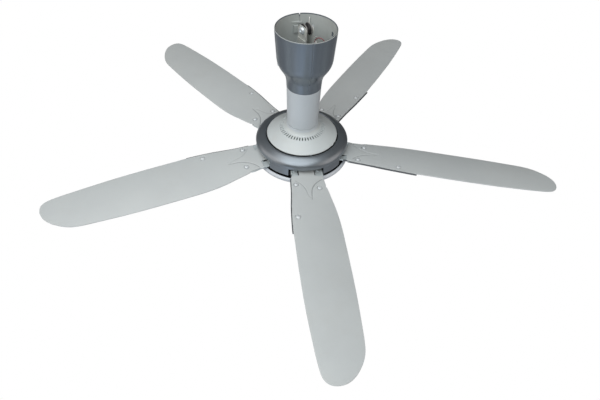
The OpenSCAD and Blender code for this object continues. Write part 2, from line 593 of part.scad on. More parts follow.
module blade_screws() color([0.80, 0.81, 0.83]) at_ring() {
    for (k = [0:blade_count - 1]) rotate([0, 0, az_of(k)])
        for (p = blade_screw_at) translate([p[0], -p[1], skin(p[0], p[1])])
            rotate([atan(-pitch_slope(p[0]) + 8.4 * (p[1] - 10) / 4356), 0, 0]) {
                translate([0, 0, -7.5]) cylinder(r = 2, h = 8, $fn = 24);
                rotate_extrude($fn = 48) polygon([[0, 0], [5.6, 0], [5.6, 0.6], [4.9, 1.9], [3.4, 2.8], [1.6, 3.2], [0, 3.3]]);
            }
}

// ---------- bottom cover ----------
module bottom_bracket() color([0.62, 0.63, 0.64]) at_ring() {
    difference() {
        union() {
            tube(shaft_r, 58, -70, -67);
            tube(shaft_r, 14, -67, -57);
        }
        for (a = [90, 210, 330]) rotate([0, 0, a]) translate([48, 0, -72]) cylinder(r = 2.2, h = 8, $fn = 24);
    }
}
module shaft_nut() color([0.74, 0.75, 0.76]) at_ring() translate([0, 0, -78]) difference() {
    hex(30, 8);
    translate([0, 0, -1]) cylinder(r = shaft_r, h = 10);
}
dish_pts = [[136.9, -47.6], [138.8, -47.9], [141.2, -49.6], [142.7, -52.2], [143.1, -55], [142.3, -58], [139.8, -61.8], [134, -66.2], [126, -70.6],
    [114, -75.8], [92, -82.6], [64, -87.4], [34, -89.7], [0.2, -90.2]];
dish_out = curve(dish_pts, 2);
module bottom_cover() color([0.75, 0.78, 0.80]) at_ring() {
    q = inset(dish_out, -2.4);
    difference() {
        union() {
            rotate_extrude($fn = 180) polygon(concat(
                dish_out, [[0, -90.2], [0, -87.6]], rev(q)));
            for (a = [90, 210, 330]) rotate([0, 0, a]) translate([48, 0, -88]) cylinder(r = 5, h = 18, $fn = 48);
        }
        for (a = [90, 210, 330]) rotate([0, 0, a]) {
            translate([48, 0, -92]) cylinder(r = 4.2, h = 8, $fn = 32);
            translate([48, 0, -92]) cylinder(r = 2.2, h = 30, $fn = 24);
        }
    }
}
module bottom_cover_screws() color([0.78, 0.79, 0.80]) at_ring() {
    for (a = [90, 210, 330]) rotate([0, 0, a]) translate([48, 0, -86.6]) {
        cylinder(r = 3.8, h = 2.6, $fn = 32);
        cylinder(r = 2.2, h = 20, $fn = 24);
    }
}

hanger_clevis();
roller_bolt();
roller_nut();
rubber_roller();
roller_sleeve();
downrod();
hanger_cross_bolt();
hanger_cross_nut();
hanger_set_screw();
terminal_block();
live_lead();
neutral_lead();
canopy_half_left();
canopy_half_right();
canopy_screw();
tube_cover();
shaft_coupler();
coupler_cross_bolt();
coupler_cross_nut();
motor_shaft();
top_cover();
control_board();
board_components();
board_screws();
stator_core();
stator_insulator();
stator_windings();
upper_bearing_inner();
upper_bearing_outer();
upper_bearing_balls();
upper_bearing_cage();
lower_bearing_inner();
lower_bearing_outer();
lower_bearing_balls();
lower_bearing_cage();
rotor_lid();
rotor_base();
rotor_yoke();
rotor_magnets();
rotor_lid_screws();
ring_cover();
ring_cover_screws();
blade_bracket_1();
blade_bracket_2();
blade_bracket_3();
blade_bracket_4();
blade_bracket_5();
blade_1();
blade_2();
blade_3();
blade_4();
blade_5();
bracket_screws();
blade_screws();
bottom_bracket();
shaft_nut();
bottom_cover();
bottom_cover_screws();
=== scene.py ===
import math

import bmesh
import bpy
import numpy as np
from mathutils import Matrix, Vector


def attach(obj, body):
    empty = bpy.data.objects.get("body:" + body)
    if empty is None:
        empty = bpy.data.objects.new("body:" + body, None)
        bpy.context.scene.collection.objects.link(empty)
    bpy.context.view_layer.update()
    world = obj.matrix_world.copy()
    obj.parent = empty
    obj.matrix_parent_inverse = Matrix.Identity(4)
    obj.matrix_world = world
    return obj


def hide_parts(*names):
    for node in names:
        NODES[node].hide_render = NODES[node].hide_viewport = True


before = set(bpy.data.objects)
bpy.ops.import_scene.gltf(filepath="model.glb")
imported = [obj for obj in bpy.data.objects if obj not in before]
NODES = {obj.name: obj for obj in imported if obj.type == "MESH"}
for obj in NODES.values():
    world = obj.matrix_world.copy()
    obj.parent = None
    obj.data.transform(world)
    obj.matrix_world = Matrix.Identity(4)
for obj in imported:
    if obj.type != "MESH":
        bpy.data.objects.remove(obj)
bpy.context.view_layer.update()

# Millimetres in the numbers below. h is a height above the hub ring's plane, and DROP is that plane's depth below the origin.
DROP = 333.5
scene = bpy.context.scene


# ---------- curves and profiles ----------
def curve(p, s):
    """Catmull-Rom curve through the points p, with s steps between two points."""
    p = np.array(p, float)
    n, out = len(p) - 1, []
    for i in range(n):
        a, b, c, d = p[max(0, i - 1)], p[i], p[i + 1], p[min(n, i + 2)]
        for j in range(s):
            u = j / s
            out.append(0.5 * (2 * b + (c - a) * u + (2 * a - 5 * b + 4 * c - d) * u * u + (3 * b - a - 3 * c + d) * u ** 3))
    out.append(p[n])
    return np.array(out)


def left_normals(p):
    v = np.empty_like(p)
    v[1:-1], v[0], v[-1] = p[2:] - p[:-2], p[1] - p[0], p[-1] - p[-2]
    v /= np.linalg.norm(v, axis=1)[:, None]
    return np.stack([-v[:, 1], v[:, 0]], 1)


def inset(p, w):
    return p + w * left_normals(p)


def arc(cx, cy, r, a0, a1, n):
    """n + 1 points of a circle from angle a0 to a1, in degrees."""
    a = np.radians(np.linspace(a0, a1, n + 1))
    return np.stack([cx + r * np.cos(a), cy + r * np.sin(a)], 1)


def smooth(u):
    v = np.clip(u, 0, 1)
    return v * v * (3 - 2 * v)


# ---------- mesh building ----------
class Parts:
    """Vertices, faces and material numbers of one piece while it is put together."""

    def __init__(self):
        self.v, self.f, self.m = [], [], []

    def grid(self, P, wrap=False, mat=0):
        n, m = P.shape[:2]
        base = len(self.v)
        self.v += P.reshape(-1, 3).tolist()
        for i in range(n - 1):
            k = mat[i] if isinstance(mat, (list, np.ndarray)) else mat
            for j in range(m if wrap else m - 1):
                a, b = base + i * m + j, base + i * m + (j + 1) % m
                self.f.append((a, b, b + m, a + m))
                self.m.append(int(k))

    def face(self, pts, mat=0):
        base = len(self.v)
        self.v += [list(map(float, p)) for p in pts]
        self.f.append(tuple(range(base, base + len(pts))))
        self.m.append(mat)

    def spin(self, prof, angles=None, seg=180, mat=0, closed=False, caps=True):
        """Turns a profile of (radius, height) about Z, all the way round or through the given angles."""
        full = angles is None
        a = np.radians(np.arange(seg) * 360 / seg if full else np.array(angles, float))
        p = np.array(prof, float)
        if closed:
            p = np.vstack([p, p[:1]])
        P = np.stack([p[:, :1] * np.cos(a), p[:, :1] * np.sin(a), np.repeat(p[:, 1:2], len(a), 1)], -1)
        self.grid(P, wrap=full, mat=mat)
        if closed and caps and not full:
            self.face(P[:-1, 0], 0)
            self.face(P[:-1, -1][::-1], 0)


def shade(o, sharp):
    o.data.shade_smooth()
    o.data.set_sharp_from_angle(angle=math.radians(sharp))


def settle(o):
    """Replaces the mesh of o with what its modifiers make of it."""
    bpy.context.view_layer.update()
    dg = bpy.context.evaluated_depsgraph_get()
    me = bpy.data.meshes.new_from_object(o.evaluated_get(dg))
    old = o.data
    o.modifiers.clear()
    o.data = me
    me.name = o.name
    bpy.data.meshes.remove(old)


def bevel(o, width, seg=2, angle=40):
    b = o.modifiers.new("edges", "BEVEL")
    b.width, b.segments, b.limit_method, b.angle_limit = width * 0.001, seg, "ANGLE", math.radians(angle)
    b.use_clamp_overlap = True
    b.miter_outer = "MITER_ARC"
    settle(o)


def weighted(o):
    w = o.modifiers.new("normals", "WEIGHTED_NORMAL")
    w.keep_sharp, w.weight = True, 80


def build(name, parts, mats, ring=True, weld=0.003, sharp=38, edge=0.0, seg=2):
    v = np.array(parts.v, float).reshape(-1, 3)
    if ring:
        v[:, 2] -= DROP
    me = bpy.data.meshes.new(name)
    me.from_pydata((v * 0.001).tolist(), [], parts.f)
    for m in mats:
        me.materials.append(m)
    me.polygons.foreach_set("material_index", parts.m)
    bm = bmesh.new()
    bm.from_mesh(me)
    if weld:
        bmesh.ops.remove_doubles(bm, verts=bm.verts, dist=weld * 0.001)
    bmesh.ops.recalc_face_normals(bm, faces=bm.faces)
    bm.to_mesh(me)
    bm.free()
    o = bpy.data.objects.new(name, me)
    scene.collection.objects.link(o)
    if edge:
        bevel(o, edge, seg)
    shade(o, sharp)
    if edge:
        weighted(o)
    return o


def cut(o, tool, own=False):
    """Takes the solid tool out of o. own is for a tool whose parts overlap."""
    b = o.modifiers.new("cut", "BOOLEAN")
    b.operation, b.object, b.solver, b.use_self = "DIFFERENCE", tool, "EXACT", own
    settle(o)
    me = tool.data
    bpy.data.objects.remove(tool)
    bpy.data.meshes.remove(me)


def join(objs, name):
    """One object of several, in order, with their meshes where they are."""
    bm, mats = bmesh.new(), []
    for o in objs:
        start = len(bm.faces)
        me = o.data.copy()
        me.transform(o.matrix_world)
        bm.from_mesh(me)
        own = [m for m in o.data.materials]
        bm.faces.ensure_lookup_table()
        for f in bm.faces[start:]:
            m = own[f.material_index]
            if m not in mats:
                mats.append(m)
            f.material_index = mats.index(m)
        bpy.data.meshes.remove(me)
    me = bpy.data.meshes.new(name)
    bm.to_mesh(me)
    bm.free()
    for m in mats:
        me.materials.append(m)
    for o in objs:
        old = o.data
        bpy.data.objects.remove(o)
        if old.users == 0:
            bpy.data.meshes.remove(old)
    new = bpy.data.objects.new(name, me)
    scene.collection.objects.link(new)
    return new


def put(o, body, slot, *nodes):
    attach(o, body)
    if nodes:
        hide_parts(*nodes)
    return o


def slab(P, mask, top, bottom, rim=0.9, low=0.6, steps=4, place=None):
    """A closed sheet over the grid P of (x, t): its top and bottom heights are functions, its faces are those in mask, and its rim is
    rounded outward from the grid's boundary."""
    nr, nc = P.shape[:2]
    parts = Parts()
    flat = P.reshape(-1, 2)
    use = np.zeros(nr * nc, bool)
    quads, edges = [], {}
    for i in range(nr - 1):
        for j in range(nc - 1):
            if not mask[i, j]:
                continue
            q = (i * nc + j, (i + 1) * nc + j, (i + 1) * nc + j + 1, i * nc + j + 1)
            quads.append(q)
            for k in range(4):
                u, v = q[k], q[(k + 1) % 4]
                use[u] = True
                if (v, u) in edges:
                    del edges[(v, u)]
                else:
                    edges[(u, v)] = True
    new = -np.ones(nr * nc, int)
    ids = np.nonzero(use)[0]
    new[ids] = np.arange(len(ids))
    Q = flat[ids]
    n = len(ids)
    zt, zb = top(Q[:, 0], Q[:, 1]), bottom(Q[:, 0], Q[:, 1])
    verts = [np.column_stack([Q, zt]), np.column_stack([Q, zb])]
    faces = [tuple(new[k] for k in q) for q in quads] + [tuple(new[k] + n for k in reversed(q)) for q in quads]
    nxt = {u: v for u, v in edges}
    base = 2 * n
    while nxt:
        start = next(iter(nxt))
        loop, u = [start], nxt.pop(start)
        while u != start:
            loop.append(u)
            u = nxt.pop(u)
        pts = flat[loop]
        d = np.roll(pts, -1, 0) - pts
        d /= np.maximum(np.linalg.norm(d, axis=1), 1e-9)[:, None]
        en = np.stack([d[:, 1], -d[:, 0]], 1)
        vn = en + np.roll(en, 1, 0)
        vn /= np.maximum(np.linalg.norm(vn, axis=1), 1e-9)[:, None]
        vn /= np.clip((vn * en).sum(1), 0.7, 1)[:, None]
        zt, zb = top(pts[:, 0], pts[:, 1]), bottom(pts[:, 0], pts[:, 1])
        rings = []
        for k in range(1, steps + 1):
            a = math.pi / 2 * k / steps
            rings.append((rim * math.sin(a), zt - rim * (1 - math.cos(a))))
        for k in range(steps):
            a = math.pi / 2 * k / (steps - 1)
            rings.append((rim - low * (1 - math.cos(a)), zb + low * (1 - math.sin(a))))
        m = len(loop)
        prev = [int(new[k]) for k in loop]
        for out, z in rings:
            verts.append(np.column_stack([pts + vn * out, z]))
            now = list(range(base, base + m))
            base += m
            faces += [(prev[k], now[k], now[(k + 1) % m], prev[(k + 1) % m]) for k in range(m)]
            prev = now
        under = [int(new[k]) + n for k in loop]
        faces += [(prev[k], under[k], under[(k + 1) % m], prev[(k + 1) % m]) for k in range(m)]
    V = np.vstack(verts)
    V = np.column_stack([V[:, 0], -V[:, 1], V[:, 2]])
    if place is not None:
        V = place(V)
    parts.v, parts.f, parts.m = V.tolist(), [tuple(int(x) for x in f) for f in faces], [0] * len(faces)
    return parts


def turned(V, az):
    a = math.radians(az)
    c, s = math.cos(a), math.sin(a)
    V = np.asarray(V, float)
    return np.column_stack([V[:, 0] * c - V[:, 1] * s, V[:, 0] * s + V[:, 1] * c, V[:, 2]])


def refine(node, mats, edge=0.4, seg=2, angle=35, sharp=38, name=None):
    """A copy of a CAD node's solid with its flat faces whole and its edges broken."""
    src = NODES[node].data
    v = np.empty(len(src.vertices) * 3)
    src.vertices.foreach_get("co", v)
    me = bpy.data.meshes.new(name or node + "_fine")
    me.from_pydata(v.reshape(-1, 3).tolist(), [], [tuple(p.vertices) for p in src.polygons])
    for m in mats:
        me.materials.append(m)
    bm = bmesh.new()
    bm.from_mesh(me)
    bmesh.ops.remove_doubles(bm, verts=bm.verts, dist=2e-6)
    bmesh.ops.dissolve_limit(bm, angle_limit=math.radians(0.7), verts=bm.verts, edges=bm.edges)
    bmesh.ops.recalc_face_normals(bm, faces=bm.faces)
    bm.to_mesh(me)
    bm.free()
    o = bpy.data.objects.new(name or node + "_fine", me)
    scene.collection.objects.link(o)
    if edge:
        bevel(o, edge, seg, angle)
    shade(o, sharp)
    weighted(o)
    return o


def along_x(parts, x, z, flip=False):
    """Turns a piece spun about Z so that its axis lies along X, through (x, 0, z)."""
    V = np.array(parts.v)
    s = -1 if flip else 1
    parts.v = np.column_stack([x + s * V[:, 2], V[:, 1], z - s * V[:, 0]]).tolist()
    return parts


# ---------- materials ----------
def material(name, a, b, rough=(0.4, 0.5), metallic=0.0, spec=0.5, coat=0.0, coat_rough=0.1, blotch=6.0, grain=900.0, grain_by=0.03,
             bump=0.15, bump_scale=900.0, depth=0.00008, stretch=(1, 1, 1), turn=(0, 0, 0), edge=None, dirt=None, aniso=0.0):
    m = bpy.data.materials.new(name)
    m.use_nodes = True
    nt = m.node_tree
    nt.nodes.clear()
    N, L = nt.nodes.new, nt.links.new
    out, bsdf = N("ShaderNodeOutputMaterial"), N("ShaderNodeBsdfPrincipled")
    L(bsdf.outputs[0], out.inputs[0])
    tc, mp = N("ShaderNodeTexCoord"), N("ShaderNodeMapping")
    L(tc.outputs["Object"], mp.inputs["Vector"])
    mp.inputs["Scale"].default_value = stretch
    mp.inputs["Rotation"].default_value = turn

    def noise(scale, detail=3.0, rough_n=0.55, source=mp):
        n = N("ShaderNodeTexNoise")
        n.inputs["Scale"].default_value, n.inputs["Detail"].default_value = scale, detail
        n.inputs["Roughness"].default_value = rough_n
        L(source.outputs["Vector"] if source is mp else source, n.inputs["Vector"])
        return n.outputs["Fac"]

    def ramp(src, lo, hi, to_lo, to_hi):
        r = N("ShaderNodeMapRange")
        r.inputs["From Min"].default_value, r.inputs["From Max"].default_value = lo, hi
        r.inputs["To Min"].default_value, r.inputs["To Max"].default_value = to_lo, to_hi
        L(src, r.inputs["Value"])
        return r.outputs["Result"]

    def mix(fac, c1, c2, kind="MIX"):
        x = N("ShaderNodeMix")
        x.data_type, x.blend_type = "RGBA", kind
        if isinstance(fac, float):
            x.inputs[0].default_value = fac
        else:
            L(fac, x.inputs[0])
        for s, c in ((x.inputs[6], c1), (x.inputs[7], c2)):
            if isinstance(c, tuple):
                s.default_value = (*c, 1)
            else:
                L(c, s)
        return x.outputs[2]

    big = noise(blotch, 4.0)
    fine = noise(grain, 2.0, source=tc.outputs["Object"])
    colour = mix(ramp(big, 0.36, 0.64, 0.0, 1.0), tuple(a), tuple(b))
    g = ramp(fine, 0.3, 0.7, 1 - grain_by, 1 + grain_by)
    sc = N("ShaderNodeVectorMath")
    sc.operation = "SCALE"
    L(colour, sc.inputs[0])
    L(g, sc.inputs["Scale"])
    colour = sc.outputs[0]
    rough_out = ramp(noise(blotch * 2.3, 5.0, 0.65), 0.32, 0.68, rough[0], rough[1])
    if dirt is not None:  # (colour, amount): thin dust that gathers in patches
        patch = ramp(noise(dirt[2] if len(dirt) > 2 else 14.0, 6.0, 0.7), 0.5, 0.72, 0.0, dirt[1])
        colour = mix(patch, colour, tuple(dirt[0]))
    if edge is not None:  # (colour, low, high, amount): worn along convex edges
        geo = N("ShaderNodeNewGeometry")
        worn = ramp(geo.outputs["Pointiness"], edge[1], edge[2], 0.0, edge[3])
        broken = N("ShaderNodeMath")
        broken.operation = "MULTIPLY"
        L(worn, broken.inputs[0])
        L(ramp(noise(220.0, 3.0, source=tc.outputs["Object"]), 0.4, 0.6, 0.35, 1.0), broken.inputs[1])
        colour = mix(broken.outputs[0], colour, tuple(edge[0]))
    L(colour, bsdf.inputs["Base Color"])
    L(rough_out, bsdf.inputs["Roughness"])
    bsdf.inputs["Metallic"].default_value = metallic
    bsdf.inputs["Specular IOR Level"].default_value = spec
    bsdf.inputs["Coat Weight"].default_value = coat
    bsdf.inputs["Coat Roughness"].default_value = coat_rough
    bsdf.inputs["Anisotropic"].default_value = aniso
    if bump:
        bn = N("ShaderNodeBump")
        bn.inputs["Strength"].default_value, bn.inputs["Distance"].default_value = bump, depth
        L(noise(bump_scale, 3.0), bn.inputs["Height"])
        L(bn.outputs["Normal"], bsdf.inputs["Normal"])
    return m


M = {}
# The stretched noise gives the paint faint vertical streaks of tone: random tone, and partly painted reflection
# streaks.
M["canopy_paint"] = material("canopy_paint", (0.160, 0.190, 0.222), (0.180, 0.212, 0.245), rough=(0.27, 0.33), metallic=0.60, coat=0.50, coat_rough=0.09,
                             blotch=14, stretch=(4, 4, 0.3), grain=2600, grain_by=0.10, bump=0.10, bump_scale=2200, depth=0.00003, edge=((0.42, 0.46, 0.50), 0.56, 0.66, 0.35))
M["canopy_bare"] = material("canopy_bare", (0.375, 0.402, 0.392), (0.415, 0.442, 0.430), rough=(0.48, 0.58), blotch=16, grain=700, grain_by=0.03,
                            bump=0.18, bump_scale=700, depth=0.00006, dirt=((0.26, 0.26, 0.24), 0.25, 22.0))
M["ring_paint"] = material("ring_paint", (0.215, 0.245, 0.272), (0.235, 0.265, 0.292), rough=(0.33, 0.38), metallic=0.72, coat=0.40, coat_rough=0.13,
                           blotch=9, grain=2600, grain_by=0.10, bump=0.10, bump_scale=2200, depth=0.00003, edge=((0.50, 0.54, 0.57), 0.56, 0.66, 0.35))
M["tube_plastic"] = material("tube_plastic", (0.515, 0.568, 0.605), (0.540, 0.593, 0.630), rough=(0.30, 0.36), coat=0.15, coat_rough=0.15,
                             blotch=7, grain=600, grain_by=0.012, bump=0.10, bump_scale=420, depth=0.00008, dirt=((0.42, 0.43, 0.42), 0.10, 9.0))
M["top_cover_plastic"] = material("top_cover_plastic", (0.525, 0.572, 0.578), (0.550, 0.596, 0.600), rough=(0.34, 0.42), coat=0.10, coat_rough=0.2,
                                  blotch=12, grain=600, grain_by=0.012, bump=0.12, bump_scale=420, depth=0.00008, dirt=((0.52, 0.50, 0.45), 0.16, 18.0))
M["dish_plastic"] = material("dish_plastic", (0.560, 0.600, 0.640), (0.585, 0.625, 0.665), rough=(0.30, 0.36), coat=0.15, coat_rough=0.15,
                             blotch=7, grain=600, grain_by=0.012, bump=0.10, bump_scale=420, depth=0.00008)
# Near-black painted shade for the dish's inside and its bosses, where the gaps round the hub show only shade.
M["dish_inside_painted_shade"] = material("dish_inside_painted_shade", (0.030, 0.031, 0.033), (0.042, 0.043, 0.045), rough=(0.55, 0.65), blotch=20, grain=600, grain_by=0.03,
                            bump=0.12, bump_scale=420, depth=0.00008)
M["blade_plastic"] = material("blade_plastic", (0.520, 0.555, 0.560), (0.545, 0.580, 0.582), rough=(0.40, 0.48), coat=0.06, coat_rough=0.25,
                              blotch=7, grain=800, grain_by=0.015, bump=0.12, bump_scale=520, depth=0.00009, dirt=((0.46, 0.46, 0.43), 0.16, 9.0))
# The blade plastic darkens towards a grey where the attribute groove is high: painted shade in the grooves and round
# the screw heads.
shader = next(n for n in M["blade_plastic"].node_tree.nodes if n.type == "BSDF_PRINCIPLED")
plain = shader.inputs["Base Color"].links[0].from_socket
groove_shade_node = M["blade_plastic"].node_tree.nodes.new("ShaderNodeAttribute")
groove_shade_node.attribute_name = "groove"
darker = M["blade_plastic"].node_tree.nodes.new("ShaderNodeMix")
darker.data_type, darker.blend_type = "RGBA", "MIX"
M["blade_plastic"].node_tree.links.new(groove_shade_node.outputs["Fac"], darker.inputs[0])
M["blade_plastic"].node_tree.links.new(plain, darker.inputs[6])
darker.inputs[7].default_value = (0.26, 0.28, 0.285, 1)
M["blade_plastic"].node_tree.links.new(darker.outputs[2], shader.inputs["Base Color"])
# Near-black painted shade for the bracket's edge under the blade's leading edge.
M["bracket_edge_painted_shade"] = material("bracket_edge_painted_shade", (0.085, 0.092, 0.100), (0.110, 0.118, 0.126), rough=(0.42, 0.52), metallic=0.1, blotch=20, grain=900, grain_by=0.05, bump=0.10,
                             bump_scale=900, depth=0.00004)
M["bracket_paint"] = material("bracket_paint", (0.560, 0.620, 0.632), (0.585, 0.645, 0.655), rough=(0.26, 0.34), metallic=0.15, coat=0.35, coat_rough=0.10,
                              blotch=20, grain=900, grain_by=0.04, bump=0.22, bump_scale=500, depth=0.0001, edge=((0.52, 0.55, 0.55), 0.56, 0.68, 0.5))
M["galvanized_steel"] = material("galvanized_steel", (0.46, 0.48, 0.46), (0.55, 0.57, 0.54), rough=(0.40, 0.54), metallic=0.30, blotch=90, grain=500, grain_by=0.06,
                                 bump=0.25, bump_scale=300, depth=0.0001, edge=((0.66, 0.67, 0.66), 0.56, 0.68, 0.5))
M["zinc_hardware"] = material("zinc_hardware", (0.68, 0.74, 0.78), (0.76, 0.82, 0.86), rough=(0.20, 0.30), metallic=0.55, blotch=120, grain=900, grain_by=0.04,
                              bump=0.2, bump_scale=900, depth=0.00004)
M["screw_paint"] = material("screw_paint", (0.62, 0.66, 0.68), (0.68, 0.72, 0.74), rough=(0.44, 0.52), metallic=0.25, coat=0.0, coat_rough=0.12, blotch=120, grain=900,
                            grain_by=0.03, bump=0.15, bump_scale=700, depth=0.00004)
M["roller_rubber"] = material("roller_rubber", (0.012, 0.012, 0.013), (0.022, 0.022, 0.023), rough=(0.38, 0.52), blotch=60, grain=900, grain_by=0.08,
                              bump=0.3, bump_scale=900, depth=0.0001)
# A paler rubber for the roller's outer rim: a painted highlight.
M["rubber_rim_painted_highlight"] = material("rubber_rim_painted_highlight", (0.150, 0.148, 0.145), (0.260, 0.258, 0.250), rough=(0.50, 0.62), blotch=90, grain=900, grain_by=0.08,
                             bump=0.3, bump_scale=900, depth=0.0001)
M["sleeve_steel"] = material("sleeve_steel", (0.55, 0.56, 0.57), (0.62, 0.63, 0.64), rough=(0.18, 0.30), metallic=1.0, blotch=50, grain=900, grain_by=0.04,
                             stretch=(1, 1, 14), bump=0.2, bump_scale=260, depth=0.00004)
# Dark-coated cast aluminium, kept this dark partly as painted shade for the gaps round the hub.
M["cast_aluminium"] = material("cast_aluminium", (0.085, 0.087, 0.090), (0.105, 0.107, 0.110), rough=(0.45, 0.60), metallic=0.4, blotch=40, grain=500, grain_by=0.05,
                               bump=0.5, bump_scale=420, depth=0.0002)
M["coupler_iron"] = material("coupler_iron", (0.10, 0.105, 0.11), (0.13, 0.135, 0.14), rough=(0.40, 0.55), metallic=0.3, blotch=60, grain=500, grain_by=0.08,
                             bump=0.5, bump_scale=300, depth=0.0003)
M["core_steel"] = material("core_steel", (0.20, 0.205, 0.215), (0.28, 0.285, 0.295), rough=(0.34, 0.48), metallic=0.85, blotch=30, grain=900, grain_by=0.05,
                           stretch=(1, 1, 60), bump=0.6, bump_scale=30, depth=0.0002)
M["insulator_plastic"] = material("insulator_plastic", (0.70, 0.68, 0.60), (0.74, 0.72, 0.64), rough=(0.45, 0.55), blotch=30, grain=700, grain_by=0.02,
                                  bump=0.15, bump_scale=500, depth=0.0001)
M["copper_wire"] = material("copper_wire", (0.52, 0.19, 0.07), (0.62, 0.25, 0.10), rough=(0.22, 0.34), metallic=0.9, coat=0.4, coat_rough=0.1, blotch=60,
                            grain=900, grain_by=0.08, bump=0.2, bump_scale=900, depth=0.0001)
M["board_laminate"] = material("board_laminate", (0.020, 0.130, 0.060), (0.030, 0.165, 0.080), rough=(0.28, 0.40), coat=0.3, coat_rough=0.2, blotch=140,
                               grain=300, grain_by=0.15, bump=0.4, bump_scale=260, depth=0.0001)
M["component_plastic"] = material("component_plastic", (0.020, 0.020, 0.023), (0.035, 0.035, 0.038), rough=(0.38, 0.52), blotch=60, grain=900, grain_by=0.08,
                                  bump=0.25, bump_scale=700, depth=0.0001)
M["magnet_ferrite"] = material("magnet_ferrite", (0.050, 0.050, 0.055), (0.075, 0.075, 0.082), rough=(0.42, 0.58), metallic=0.2, blotch=50, grain=700, grain_by=0.1,
                               bump=0.4, bump_scale=500, depth=0.0001)
M["bearing_steel"] = material("bearing_steel", (0.62, 0.63, 0.65), (0.68, 0.69, 0.71), rough=(0.08, 0.16), metallic=1.0, blotch=80, grain=900, grain_by=0.03,
                              bump=0.1, bump_scale=900, depth=0.00003)
M["cage_brass"] = material("cage_brass", (0.62, 0.46, 0.18), (0.70, 0.53, 0.22), rough=(0.22, 0.34), metallic=1.0, blotch=80, grain=900, grain_by=0.04,
                           bump=0.2, bump_scale=700, depth=0.00005)
M["lead_red"] = material("lead_red", (0.230, 0.055, 0.062), (0.280, 0.070, 0.078), rough=(0.34, 0.46), blotch=70, grain=900, grain_by=0.05, bump=0.15,
                         bump_scale=900, depth=0.00005)
M["lead_black"] = material("lead_pale", (0.50, 0.50, 0.47), (0.56, 0.56, 0.53), rough=(0.34, 0.46), blotch=70, grain=900, grain_by=0.05, bump=0.15,
                           bump_scale=900, depth=0.00005)
M["terminal_plastic"] = material("terminal_plastic", (0.78, 0.78, 0.75), (0.82, 0.82, 0.79), rough=(0.28, 0.38), blotch=50, grain=700, grain_by=0.02,
                                 bump=0.12, bump_scale=600, depth=0.00006)
M["dark_steel"] = material("dark_steel", (0.085, 0.088, 0.090), (0.12, 0.123, 0.125), rough=(0.32, 0.46), metallic=0.9, blotch=90, grain=900, grain_by=0.06,
                           bump=0.25, bump_scale=700, depth=0.00006)

# ---------- camera: the photograph's place and lens ----------
TURN = math.radians(35.95)


def to_row(x, y, z):
    """A point given about the fan's axis with the camera towards -Y, in metres above the ring's plane, in the row frame."""
    c, s = math.cos(TURN), math.sin(TURN)
    return Vector((x * c + y * s, -x * s + y * c, z - DROP * 0.001))


def to_row_dir(x, y, z):
    c, s = math.cos(TURN), math.sin(TURN)
    return Vector((x * c + y * s, -x * s + y * c, z))


PITCH, YAW, ROLL = math.radians(47.229), 0.0022737, 0.0427414
fw = Vector((math.sin(YAW) * math.cos(PITCH), math.cos(YAW) * math.cos(PITCH), -math.sin(PITCH)))
right = fw.cross(Vector((0, 0, 1))).normalized()
up = right.cross(fw)
right, up = right * math.cos(ROLL) + up * math.sin(ROLL), up * math.cos(ROLL) - right * math.sin(ROLL)
cam_data = bpy.data.cameras.new("camera")
cam_data.sensor_width, cam_data.lens = 36, 28.78
cam_data.clip_start, cam_data.clip_end = 0.02, 200
cam = bpy.data.objects.new("camera", cam_data)
scene.collection.objects.link(cam)
fr, ft, fd = to_row_dir(*right), to_row_dir(*up), to_row_dir(*(-fw))
eye = to_row(0, -1.12743, 0.93414)
cam.matrix_world = Matrix(((fr.x, ft.x, fd.x, eye.x), (fr.y, ft.y, fd.y, eye.y), (fr.z, ft.z, fd.z, eye.z), (0, 0, 0, 1)))
scene.camera = cam

# ---------- canopy ----------
canopy_pts = [[48.2, 181], [48.6, 189], [49.4, 200], [51.6, 212], [56.2, 223.5], [62.4, 234], [68.4, 243.5], [72.6, 253], [75.0, 264],
              [76.0, 277], [76.9, 290], [78.2, 310], [79.5, 330], [80.2, 349]]
can_out = curve(canopy_pts, 6)
can_in = inset(can_out, 2.2)
keep = can_out[:, 1] < 347.0
outer = np.vstack([arc(48.2 - 0.5, 181.5, 0.5, -90, -20, 3), can_out[keep][1:], arc(80.2 - 1.8, 349 - 1.8, 1.8, 0, 90, 8)])
inner = np.vstack([arc(78.0 + 0.35, 349 - 0.35, 0.35, 90, 180, 3), [[77.86, 346.4]], can_in[(can_in[:, 1] < 345.5) & (can_in[:, 1] > 181.5)][::-1], [[can_in[0][0], 181]]])
can_prof = np.vstack([outer, inner])
can_mat = [0] * (len(outer) + 4) + [1] * (len(inner) - 5) + [0]
# A band of the outer rim's rounding takes the pale bare plastic: a painted highlight along the rim's edge.
can_mat[len(outer) - 7:len(outer) - 3] = [1] * 4


